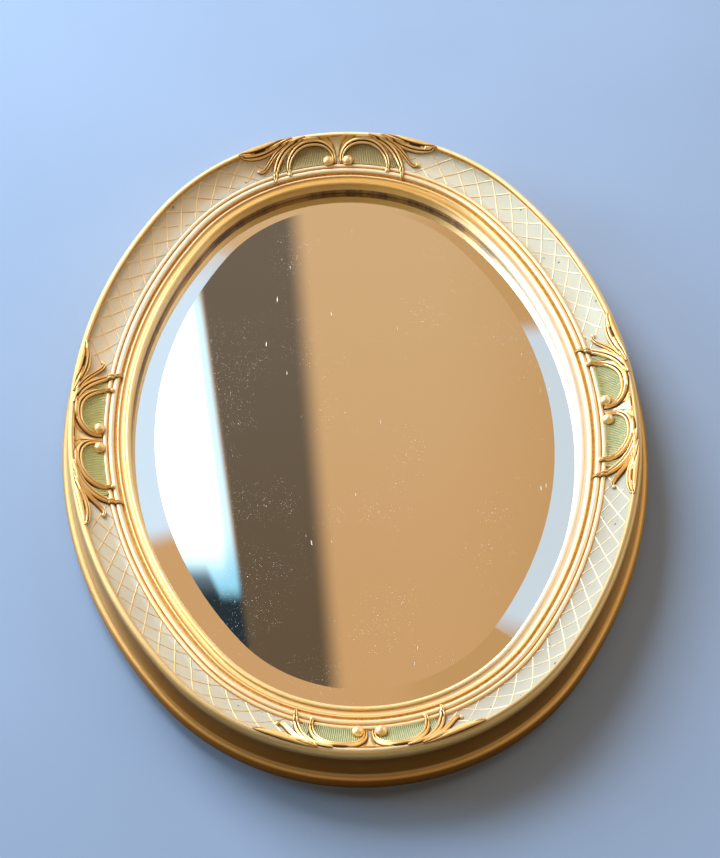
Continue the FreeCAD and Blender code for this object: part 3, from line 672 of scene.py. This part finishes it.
def green_finish(name, green, yellow):
    """Sage green paint with yellow showing through."""
    shader = Shader(name)
    colour = shader.coats(
        green,
        (shader.noise(160.0).between(0.42, 0.72), yellow),
        # Browner towards the top and yellower towards the left; painted shade darkens it towards the bottom.
        (shader.towards(0.0, 1.0).between(0.0, 0.35) * 0.8, (0.40, 0.28, 0.075)),
        (shader.towards(-1.0, 0.0).between(0.0, 0.22) * 0.5, (0.74, 0.76, 0.30)),
        (shader.towards(0.0, -1.0).between(0.1, 0.3) * 0.35, (0.20, 0.25, 0.11)),
        (shader.noise(420.0).between(0.62, 0.75) * 0.6, (0.10, 0.10, 0.05)))
    return shader.finish(Base_Color=colour, Roughness=0.55)


def lattice_finish():
    """Gold paint of the frieze's lines, worn in patches and paler on the right as painted sheen."""
    shader = Shader("lattice_gold")
    # Paler in worn patches, and towards the right as painted sheen.
    wear_and_sheen = shader.noise(120.0).between(0.35, 0.7) * 0.3 + shader.towards(1.0, -0.3).between(0.0, 0.2) * 0.7
    colour = shader.mix(wear_and_sheen, (0.86, 0.60, 0.26), (0.98, 0.90, 0.70))
    return shader.finish(Base_Color=colour, Metallic=0.5, Roughness=0.35)


def mirror_finish():
    """Silvered glass."""
    shader = Shader("silvered_glass")
    dust = shader.noise(1300.0, detail=1.0).between(0.71, 0.77) * shader.noise(14.0).between(0.42, 0.64)
    upright = shader.stretched((1.0, 1.0, 0.12), (0.0, 0.25, 0.0))
    scratch = shader.noise(520.0, detail=1.0, vector=upright).between(0.76, 0.80)
    scratch = scratch * shader.noise(22.0).between(0.5, 0.62)
    mark = dust.math("MAXIMUM", scratch * 0.8)
    return shader.finish(
        Base_Color=(0.94, 0.95, 0.94), Metallic=1.0 - mark * 0.6, Roughness=mark * 0.5 + 0.012)


def wood_finish(name, light, dark, grain):
    """Bare wood with grain along one axis."""
    shader = Shader(name)
    streak = shader.noise(170.0, detail=6.0, roughness=0.65, vector=shader.stretched(grain))
    return shader.finish(Base_Color=shader.mix(streak.between(0.3, 0.75), light, dark), Roughness=0.65)


def plain_finish(name, colour, metallic, roughness):
    """One even finish with faint blotches."""
    shader = Shader(name)
    darker = tuple(value * 0.8 for value in colour)
    return shader.finish(
        Base_Color=shader.mix(shader.noise(90.0).between(0.4, 0.7), colour, darker),
        Metallic=metallic, Roughness=roughness)


def paint_node(name, material):
    """Give a CAD node its finish."""
    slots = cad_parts[name].data.materials
    slots.clear()
    slots.append(material)


# Pieces.
def oval_path(count):
    """Points round the outline, from the bottom, anticlockwise, at even steps on each arc."""
    total = 4 * (half_arc("top") + half_arc("right"))
    points = []
    for arc, first, last in (
        ("bottom", 0, 1), ("right", -1, 1), ("top", 1, -1), ("left", 1, -1), ("bottom", -1, 0),
    ):
        half = half_arc(arc)
        steps = round(count * abs(last - first) * half / total)
        for step in range(steps):
            spot = on_arc(arc, half * (first + (last - first) * step / steps), 0.0, 0.0)
            points.append((spot.x, spot.z - CENTRE_Z))
    return points


def section_hollow(inset, height):
    """How deep in a hollow a section point lies, 0 to 1, which darkens its gilding as patina and painted
    shade.
    """
    near = max(math.exp(-((inset - groove) / GROOVE_REACH) ** 2) for groove in GROOVES)
    if inset < OUTER_SIDE and height < CREST_LOW:
        return 0.9 * near if height < DARK_GROOVE_TOP else 0.0
    return 0.1 if height < FACE_LOW else 0.62 * near


def section_inset(inset, height):
    """Inset of a section point, 0 on the outer side, or the mark of its zone."""
    if height < BACK_TOP and inset > TORUS_FOOT:
        return BARE_BACK
    if inset > REBATE_INSET and height < SIGHT_LOW:
        return SIGHT_WALL
    return inset if height > SIGHT_LOW and inset > CREST_EDGE else 0.0


def section_side(inset, height):
    """How dark the outer side's gilding is at a section point: dark patina, with painted shade on the roll
    and a painted highlight line on the fillet.
    """
    if inset > OUTER_SIDE:
        return 0.0
    return float(np.interp(height, *(TORUS_DARK if height < TORUS_TOP else COVE_DARK)))


class MIRROR_OT_moulding(bpy.types.Operator):
    """Sweep the gilt and cream moulding round the oval"""

    bl_idname = "mirror.moulding"
    bl_label = "Moulding"

    def execute(self, context):
        section = bpy.data.meshes.new("moulding_section")
        count = len(SECTION_POINTS)
        section.from_pydata(
            [(-point.x, -point.y, 0.0) for point in SECTION_POINTS],
            [(index, (index + 1) % count) for index in range(count)], [])
        for name, measure in (("inset", section_inset), ("hollow", section_hollow), ("side", section_side)):
            values = [measure(point.x / MM, point.y / MM) for point in SECTION_POINTS]
            section.attributes.new(name, "FLOAT", "POINT").data.foreach_set("value", values)
        section_carrier = add_object("moulding_section", section)
        curve = bpy.data.curves.new("oval_path", "CURVE")
        curve.dimensions = "3D"
        curve.twist_mode = "Z_UP"
        points = oval_path(PATH_STEPS)
        spline = curve.splines.new("POLY")
        spline.points.add(len(points) - 1)
        for spot, (x, z) in zip(spline.points, points):
            spot.co = (x, z, 0.0, 1.0)
        spline.use_cyclic_u = True
        carrier = add_object("oval_path", curve)
        finish = moulding_finish()
        sweep_tree().apply(carrier, Section=section_carrier, Seat=(0.0, BACK_Y, CENTRE_Z), Finish=finish)
        mesh = finished_mesh(carrier, "moulding")
        bpy.data.objects.remove(section_carrier)
        outward(mesh, MOULDING_SHARP)
        segments = [f"frame_segment_{arc}" for arc in ARCS]
        add_piece("moulding", mesh, finish, nodes=segments)
        return {"FINISHED"}


class Relief:
    """Closed shells gathered over one arc's moulding."""

    def __init__(self, arc):
        self.arc = arc
        self.shift = SHIFTS[arc] * MM
        self.spots = []
        self.faces = []
        self.hollows = []

    def spot(self, along, inset, lift):
        """Point over the face by its place in the cartouche."""
        return on_face(self.arc, along + self.shift, inset, lift)

    def strand(self, points, height, ridges, side, steps):
        """Tapered strand with rounded ridges along it, closed underneath and at its ends."""
        way = smooth_way(points, steps) * (side * MM, MM, MM)
        ahead = np.gradient(way[:, :2], axis=0)
        ahead /= np.linalg.norm(ahead, axis=1)[:, None]
        across = np.sin(np.linspace(-math.pi / 2, math.pi / 2, 10 * ridges + 3))
        grooves = [2 * index / ridges - 1 for index in range(1, ridges)]
        cuts = [np.exp(-((across - groove) * ridges / GROOVE_WIDTH) ** 2) for groove in grooves]
        cut = sum(cuts, 0 * across)
        crown = np.sqrt(np.clip(1 - across ** 2, 0, 1)) * (1 - GROOVE_DEPTH * cut)
        # Dark in the grooves between ridges, as patina and painted shade, and towards the edges where the
        # strand meets the moulding, as painted shade.
        shade = np.maximum(0.95 * cut, np.abs(across) ** 4)
        full = way[:, 2].max()
        first = len(self.spots)
        ring = len(across) + 2
        for (along, inset, half), (run_along, run_inset) in zip(way, ahead):
            rise = height * (TIP_RISE + (1 - TIP_RISE) * min(1.0, half / full))
            rim = list(zip(across, crown * rise, shade)) + [(1, STRAND_BASE, 1.0), (-1, STRAND_BASE, 1.0)]
            for share, lift, dark in rim:
                offset = share * half
                self.spots.append(self.spot(along - run_inset * offset, inset + run_along * offset, lift))
                self.hollows.append(float(dark))
        for step in range(steps - 1):
            for index in range(ring):
                near, far = first + step * ring, first + (step + 1) * ring
                following = (index + 1) % ring
                self.faces.append((near + index, near + following, far + following, far + index))
        self.faces.append(tuple(range(first, first + ring)))
        last = first + (steps - 1) * ring
        self.faces.append(tuple(range(last, last + ring)))

    def ball(self, along, inset, lift, radius, segments, rings):
        """Ball that sits on the moulding."""
        centre = self.spot(along * MM, inset * MM, lift)
        shell = bmesh.new()
        bmesh.ops.create_uvsphere(shell, u_segments=segments, v_segments=rings, radius=radius)
        first = len(self.spots)
        shell.verts.ensure_lookup_table()
        for vertex in shell.verts:
            self.spots.append(vertex.co + centre)
            # Painted shade: darker towards the back of the ball, where it sits on the moulding.
            self.hollows.append(min(1.0, max(0.0, 1 - (lift - vertex.co.y) / (0.9 * radius))))
        self.faces += [tuple(first + vertex.index for vertex in face.verts) for face in shell.faces]
        shell.free()

    def slab(self, columns, rows=7):
        """Thin plate under columns of (along, first inset, last inset)."""
        first = len(self.spots)
        for lift in (PANEL_THICKNESS, -PANEL_THICKNESS):
            for along, low, high in columns:
                for inset in np.linspace(low, high, rows):
                    self.spots.append(self.spot(along * MM, inset * MM, lift))
                    self.hollows.append(PANEL_SHADE)
        under = len(columns) * rows
        grid = first + np.arange(under).reshape(-1, rows)
        for near, far in zip(grid.tolist(), grid[1:].tolist()):
            for quad in zip(near, near[1:], far[1:], far):
                self.faces += [quad, tuple(index + under for index in reversed(quad))]
        rim = np.concatenate([grid[0], grid[1:, -1], grid[-1, -2::-1], grid[-2:0:-1, 0]]).tolist()
        for here, following in zip(rim, rim[1:] + rim[:1]):
            self.faces.append((here, following, following + under, here + under))

    def mesh(self, name):
        """The gathered shells as one mesh."""
        mesh = bpy.data.meshes.new(name)
        mesh.from_pydata(self.spots, [], self.faces)
        mesh.attributes.new("hollow", "FLOAT", "POINT").data.foreach_set("value", self.hollows)
        outward(mesh, RELIEF_SHARP)
        return mesh


class MIRROR_OT_cartouches(bpy.types.Operator):
    """Carve the four gilt cartouches of scrolls, leaves and balls"""

    bl_idname = "mirror.cartouches"
    bl_label = "Cartouches"

    def execute(self, context):
        finish = gilding()
        leaf, scroll = sizes().leaf_height, sizes().scroll_height
        for arc in ARCS:
            relief = Relief(arc)
            relief.strand(MIDDLE_FAN, FAN_HEIGHT, 1, 1, 24)
            for side in (1, -1):
                for way, first, last in ((SCROLL, 5.0, 50.0), (LONG_LEAF, 44.0, 66.0)):
                    relief.slab([
                        (side * along, GROUND_TOP, strand_inset(way, along))
                        for along in np.linspace(first, last, 24)])
                for way, height, ridges, steps in (
                    (CREST_LEAF, leaf, 3, 64), (CURLED_LEAF, leaf, 2, 64), (LONG_LEAF, leaf, 2, 64),
                    (SCROLL, scroll, 2, 84),
                ):
                    relief.strand(way, height, ridges, side, steps)
                for spot, lift, radius, segments, rings in (
                    (BALL, 1.4, sizes().ball_radius, 20, 12), (SCROLL[-1], 1.0, 2.0 * MM, 14, 8),
                    (CURLED_LEAF[-1], 0.8, 1.8 * MM, 14, 8),
                ):
                    relief.ball(side * spot[0], spot[1], lift * MM, radius, segments, rings)
            name = f"cartouche_{arc}"
            add_piece(name, relief.mesh(name), finish, nodes=[f"ornament_{arc}"])
        return {"FINISHED"}


class MIRROR_OT_panels(bpy.types.Operator):
    """Lay the ribbed green panels inside the scrolls"""

    bl_idname = "mirror.panels"
    bl_label = "Ribbed panels"

    def execute(self, context):
        finish = green_finish("sage_ground", colours().green, (0.46, 0.46, 0.19))
        # The ribs take a lighter green than the ground: partly their own paint, partly a painted highlight.
        rib_finish = green_finish("sage_ribs", (0.66, 0.69, 0.38), (0.80, 0.74, 0.38))
        tree = rod_tree()
        pitch = sizes().rib_pitch / MM
        for arc in ARCS:
            relief = Relief(arc)
            lines = []
            for side in (1, -1):
                for way, first, last in ((SCROLL, 6.0, 52.5), (LONG_LEAF, 55.0, 62.0)):
                    columns = [
                        (side * along, min(strand_inset(way, along), PANEL_LAST_TOP), PANEL_FOOT)
                        for along in np.arange(first, last, pitch / 2)]
                    relief.slab(columns)
                    for along, low, high in columns[::2]:
                        if high - low > SHORTEST_RIB:
                            lines.append([
                                relief.spot(along * MM, inset * MM, PANEL_THICKNESS)
                                for inset in np.linspace(low, high, 6)])
            name = f"green_panels_{arc}"
            add_piece(name, relief.mesh(name), finish, nodes=[f"ribbed_panels_{arc}"])
            add_rods(tree, f"panel_ribs_{arc}", lines, sizes().rib_radius, rib_finish)
        return {"FINISHED"}


class MIRROR_OT_lattice(bpy.types.Operator):
    """Draw the frieze's slanted gold lines between the cartouches"""

    bl_idname = "mirror.lattice"
    bl_label = "Lattice"

    def execute(self, context):
        pitch = sizes().lattice_pitch / MM
        lines = []
        for arc in ARCS:
            half = half_arc(arc) / MM
            count = round(2 * half / pitch)
            step = 2 * half / count
            for index in range(-1, count + 2):
                for slant in (LATTICE_SLANT, -LATTICE_SLANT):
                    lines += self.runs(arc, half, -half + index * step, slant)
        add_rods(
            rod_tree(), "frieze_lattice", lines, sizes().lattice_radius, lattice_finish())
        return {"FINISHED"}

    def runs(self, arc, half, foot, slant):
        """Runs of one slanted line that stay on their arc and clear of its cartouche."""
        runs = [[]]
        for inset in np.linspace(LATTICE_TOP, LATTICE_FOOT, 12):
            along = foot + slant * (inset - LATTICE_TOP)
            reach = LEAF_REACH if inset < LEAF_FOOT else SCROLL_REACH
            if reach < abs(along) <= half:
                runs[-1].append(on_face(arc, along * MM, inset * MM, -LATTICE_SINK))
            elif len(runs[-1]) > 1:
                runs.append([])
        return [run for run in runs if len(run) > 1]


class MIRROR_OT_plate_and_back(bpy.types.Operator):
    """Finish the mirror plate, the boards and the hanging hardware"""

    bl_idname = "mirror.plate_and_back"
    bl_label = "Plate and back"

    def execute(self, context):
        for finish, names in (
            (mirror_finish(), ["mirror_plate"]),
            (wood_finish("plywood", (0.50, 0.36, 0.20), (0.34, 0.22, 0.11), (1.0, 1.0, 0.12)),
             ["back_board", "joint_tongues"]),
            (plain_finish("card", (0.45, 0.35, 0.24), 0.0, 0.9), ["backing_card"]),
            (plain_finish("zinc_steel", (0.55, 0.55, 0.52), 1.0, 0.35),
             ["turn_button_screws", "hanger_screws"] + [f"turn_button_{index}" for index in range(1, 7)]),
            (plain_finish("plated_brass", (0.70, 0.52, 0.24), 1.0, 0.3), ["hanger_strap", "hanging_ring"]),
            (plain_finish("rubber", (0.03, 0.03, 0.03), 0.0, 0.7), ["bumper_left", "bumper_right"]),
        ):
            for name in names:
                paint_node(name, finish)
        return {"FINISHED"}


# Stage.
CAMERA_SEAT = Vector((-0.0422, -1.7320, -1.2517))
PAN = math.radians(1.5755)
TILT = math.radians(36.110)
ROLL = math.radians(-4.059)
FOCAL_PIXELS = 2597.4
FRAME_HEIGHT = 858.0
SENSOR = 36.0
TORUS_HEIGHT = 6.0 * MM
WALL_OVERLAP = 11.0 * MM
STAGE_REACH = 4.0
FLOOR_Z = CENTRE_Z - 1.75
# Card that the plate reflects: its distance, and a corner and two edges in pixels.
CARD_DISTANCE = 4.6
CARD = ((-2400, -900, 0), (3400, 0, 0), (0, 2100, 0))
# Glowing sheets that only glossy surfaces see: a corner with its height from the mirror's middle, two edges
# and the colour.
REFLECTORS = (
    ("ceiling_reflector", (-2.0, -2.2, 2.9), (4.0, 0.0, 0.0), (0.0, 2.0, 0.0), (1.3, 1.25, 1.15)),
    ("left_reflector", (-2.9, -4.0, -0.3), (0.0, 3.8, 0.0), (0.0, 0.0, 3.7), (3.2, 3.3, 3.35)),
    ("right_reflector", (2.6, -4.0, -1.1), (0.0, 3.8, 0.0), (0.0, 0.0, 4.5), (0.95, 0.92, 0.86)),
    ("low_reflector", (-2.0, -4.0, -1.6), (4.0, 0.0, 0.0), (0.0, 3.6, 0.0), (0.40, 0.31, 0.20)),
    ("front_reflector", (-1.6, -3.2, -3.4), (3.2, 0.0, 0.0), (0.0, 0.0, 2.9), (0.95, 0.84, 0.66)),
)
# Name, place in metres with its height from the mirror's middle, size, power and colour.
LIGHTS = (
    ("key", (-1.3, -1.9, 2.15), 1.7, 106.0, (0.94, 0.97, 1.0)),
    ("cool_side", (-2.4, -1.0, 0.7), 1.2, 32.0, (0.46, 0.80, 1.0)),
    ("fill", (2.0, -2.0, 0.8), 1.5, 11.0, (1.0, 0.78, 0.55)),
    ("rear", (0.8, 1.8, 0.9), 1.4, 40.0, (1.0, 1.0, 1.0)),
)


def camera_axes():
    """Right, up and forward of the camera."""
    forward = Vector((math.sin(PAN) * math.cos(TILT), math.cos(PAN) * math.cos(TILT), math.sin(TILT)))
    right = forward.cross(Vector((0, 0, 1))).normalized()
    up = right.cross(forward)
    return (
        math.cos(ROLL) * right + math.sin(ROLL) * up, -math.sin(ROLL) * right + math.cos(ROLL) * up, forward)


def rectangle(corner, first, second):
    """Corners of a rectangle from one of them and two edges."""
    corner, first, second = Vector(corner), Vector(first), Vector(second)
    return [corner, corner + first, corner + first + second, corner + second]


def stage_plane(name, corners, material, faces=None):
    """Flat stage sheet through its corners, facing the side from which they run anticlockwise."""
    mesh = bpy.data.meshes.new(name)
    mesh.from_pydata(corners, [], faces or [tuple(range(len(corners)))])
    mesh.materials.append(material)
    sheet = add_object(name, mesh)
    return sheet


def wall_finish():
    """Matt pale wall, clear from behind."""
    shader = Shader("pale_wall")
    blotch = shader.noise(2.2, detail=3.0)
    darker = tuple(value * 0.93 for value in colours().wall)
    paint = shader.mix(blotch.between(0.3, 0.7), colours().wall, darker)
    return shader.close(shader.node("ShaderNodeMixShader", {
        "Fac": shader.wire("ShaderNodeNewGeometry", "Backfacing"),
        1: shader.wire("ShaderNodeBsdfDiffuse", 0, {"Color": paint}),
        2: shader.wire("ShaderNodeBsdfTransparent", 0)}))


def card_finish():
    """Glowing card that the plate reflects: broad warm, dark and pale areas with soft edges."""
    shader = Shader("reflected_card")
    x, y, _ = shader.axes(shader.place())
    slant = x + y * 0.135
    band = slant.between(-146.0, -136.0) * (1.0 - (x + y * 0.088).between(-60.0, -34.0))
    notch = slant.between(-174.0, -160.0) * 24.0
    bright = (1.0 - slant.between(-146.0, -138.0)) * (y + notch).between(-152.0, -130.0)
    glare = y.between(-160.0, -90.0) * (1.0 - slant.between(-160.0, -146.0) * 0.7)
    corner = (1.0 - slant.between(-130.0, -120.0)) * x.between(-260.0, -215.0)
    left = 1.0 - x.between(-400.0, -280.0)
    right = x.between(300.0, 360.0)
    return shader.glow(shader.coats(
        (0.64, 0.36, 0.155),
        (y.between(-300.0, 250.0), (0.68, 0.43, 0.215)),
        (x.between(60.0, 260.0) * 0.8, (0.56, 0.31, 0.115)),
        (corner * y.within(-290.0, -240.0, -150.0, -100.0),
         shader.mix(y.between(-172.0, -132.0), (0.022, 0.034, 0.042), (0.24, 0.32, 0.38))),
        (band * y.within(-420.0, -360.0, 280.0, 330.0),
         shader.mix(y.between(-260.0, 220.0), (0.13, 0.088, 0.05), (0.165, 0.125, 0.09))),
        (bright * (1.0 - y.between(110.0, 170.0)), shader.mix(glare, (0.34, 0.76, 0.98), (1.9, 2.0, 2.05))),
        (left * y.within(-215.0, -165.0, 370.0, 440.0), (0.70, 0.84, 0.98)),
        (1.0 - x.between(-900.0, -760.0), (5.0, 5.2, 5.3)),
        (right * y.within(-390.0, -335.0, 225.0, 265.0), (0.64, 0.72, 0.79))))


def soft_world():
    """World light: neutral from above, warm from the sides and dim from below."""
    shader = Shader("soft_world", world=True)
    height = shader.axes(shader.place("Generated"))[2]
    return shader.glow(shader.coats(
        (0.05, 0.034, 0.024),
        (height.between(-0.45, 0.1), (0.42, 0.285, 0.18)),
        (height.between(0.1, 0.8), (0.40, 0.34, 0.28))), "ShaderNodeBackground")


def add_light(name, place, size, power, colour):
    """Square soft light that faces the mirror."""
    lamp = bpy.data.lights.new(name, "AREA")
    lamp.size = size
    lamp.energy = power
    lamp.color = colour
    light = add_object(name, lamp)
    light.location = Vector(place) + Vector((0, 0, CENTRE_Z))
    ahead = Vector((0, BACK_Y, CENTRE_Z)) - light.location
    light.rotation_euler = ahead.to_track_quat("-Z", "Y").to_euler()


def for_reflections(sheet):
    """Let only glossy surfaces see a sheet."""
    sheet.visible_camera = False
    sheet.visible_diffuse = False
    sheet.visible_shadow = False


class MIRROR_OT_stage(bpy.types.Operator):
    """Set the camera, wall, floor and soft lights"""

    bl_idname = "mirror.stage"
    bl_label = "Stage"

    def execute(self, context):
        scene = context.scene
        seat = CAMERA_SEAT + Vector((0, BACK_Y - TORUS_HEIGHT, CENTRE_Z))
        right, up, forward = camera_axes()
        lens = bpy.data.cameras.new("photo_camera")
        lens.sensor_fit = "VERTICAL"
        lens.sensor_height = SENSOR
        lens.lens = FOCAL_PIXELS * SENSOR / FRAME_HEIGHT
        camera = add_object("photo_camera", lens)
        camera.matrix_world = Matrix.LocRotScale(
            seat, Matrix((right, up, -forward)).transposed().to_quaternion(), None)
        scene.camera = camera
        self.add_wall()
        wide = 2 * STAGE_REACH
        floor = stage_plane(
            "floor", rectangle((-STAGE_REACH, -STAGE_REACH, FLOOR_Z), (wide, 0, 0), (0, wide, 0)),
            Shader("pale_floor").finish(Base_Color=(0.62, 0.62, 0.62), Roughness=0.8))
        floor.visible_glossy = False
        floor.visible_diffuse = False
        self.add_card(seat, right, up, forward)
        for name, (x, y, z), first, second, colour in REFLECTORS:
            corners = rectangle((x, y, CENTRE_Z + z), first, second)
            for_reflections(stage_plane(name, corners, Shader(name).glow(colour)))
        for light in LIGHTS:
            add_light(*light)
        scene.world = soft_world()
        scene.view_settings.view_transform = "Standard"
        return {"FINISHED"}

    def add_wall(self):
        """Wall with an opening that the mirror hides, so that light from behind reaches its back."""
        rim, edge = [], []
        for x, z in oval_path(WALL_STEPS):
            reach = math.hypot(x, z)
            hidden = 1 - WALL_OVERLAP / reach
            wide = STAGE_REACH / reach
            rim.append((x * hidden, WALL_Y, CENTRE_Z + z * hidden))
            edge.append((x * wide, WALL_Y, max(FLOOR_Z, CENTRE_Z + z * wide)))
        count = len(rim)
        following = [(index + 1) % count for index in range(count)]
        faces = [(index, count + index, count + after, after) for index, after in enumerate(following)]
        stage_plane("wall", rim + edge, wall_finish(), faces)

    def add_card(self, seat, right, up, forward):
        """Card square to the camera's mirror image, marked off in the picture's pixels from its middle."""
        plate_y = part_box("mirror_plate")[0][1]
        flip = Vector((1, -1, 1))
        image_seat = Vector((seat.x, 2 * plate_y - seat.y, seat.z))
        unit = CARD_DISTANCE / FOCAL_PIXELS
        card = stage_plane("reflected_card", rectangle(*CARD), card_finish())
        axes = Matrix((right * flip * unit, up * flip * unit, forward * flip * unit)).transposed()
        card.matrix_world = Matrix.Translation(image_seat + forward * flip * CARD_DISTANCE) @ axes.to_4x4()
        for_reflections(card)


class MIRROR_PT_pieces(bpy.types.Panel):
    """Shows the mirror's sizes and colours and the buttons that dress its pieces"""

    bl_idname = "MIRROR_PT_pieces"
    bl_label = "Oval wall mirror"
    bl_space_type = "VIEW_3D"
    bl_region_type = "UI"
    bl_category = "Mirror"

    def draw(self, context):
        for group in (context.scene.mirror_sizes, context.scene.mirror_colours):
            for name in group.__annotations__:
                self.layout.prop(group, name)
        for operator in OPERATORS:
            self.layout.operator(operator.bl_idname)


OPERATORS = (
    MIRROR_OT_moulding, MIRROR_OT_lattice, MIRROR_OT_panels, MIRROR_OT_cartouches, MIRROR_OT_plate_and_back,
    MIRROR_OT_stage)
CLASSES = (MirrorSizes, MirrorColours) + OPERATORS + (MIRROR_PT_pieces,)


def register():
    """Register the classes and the scene's settings."""
    for cls in CLASSES:
        bpy.utils.register_class(cls)
    bpy.types.Scene.mirror_sizes = bpy.props.PointerProperty(type=MirrorSizes)
    bpy.types.Scene.mirror_colours = bpy.props.PointerProperty(type=MirrorColours)


def unregister():
    """Remove what register added."""
    del bpy.types.Scene.mirror_colours
    del bpy.types.Scene.mirror_sizes
    for cls in reversed(CLASSES):
        bpy.utils.unregister_class(cls)


def main():
    """Register the add-on, then dress the part and set its stage."""
    register()
    bpy.ops.mirror.moulding()
    bpy.ops.mirror.lattice()
    bpy.ops.mirror.panels()
    bpy.ops.mirror.cartouches()
    bpy.ops.mirror.plate_and_back()
    bpy.ops.mirror.stage()


if __name__ == "__main__":
    main()
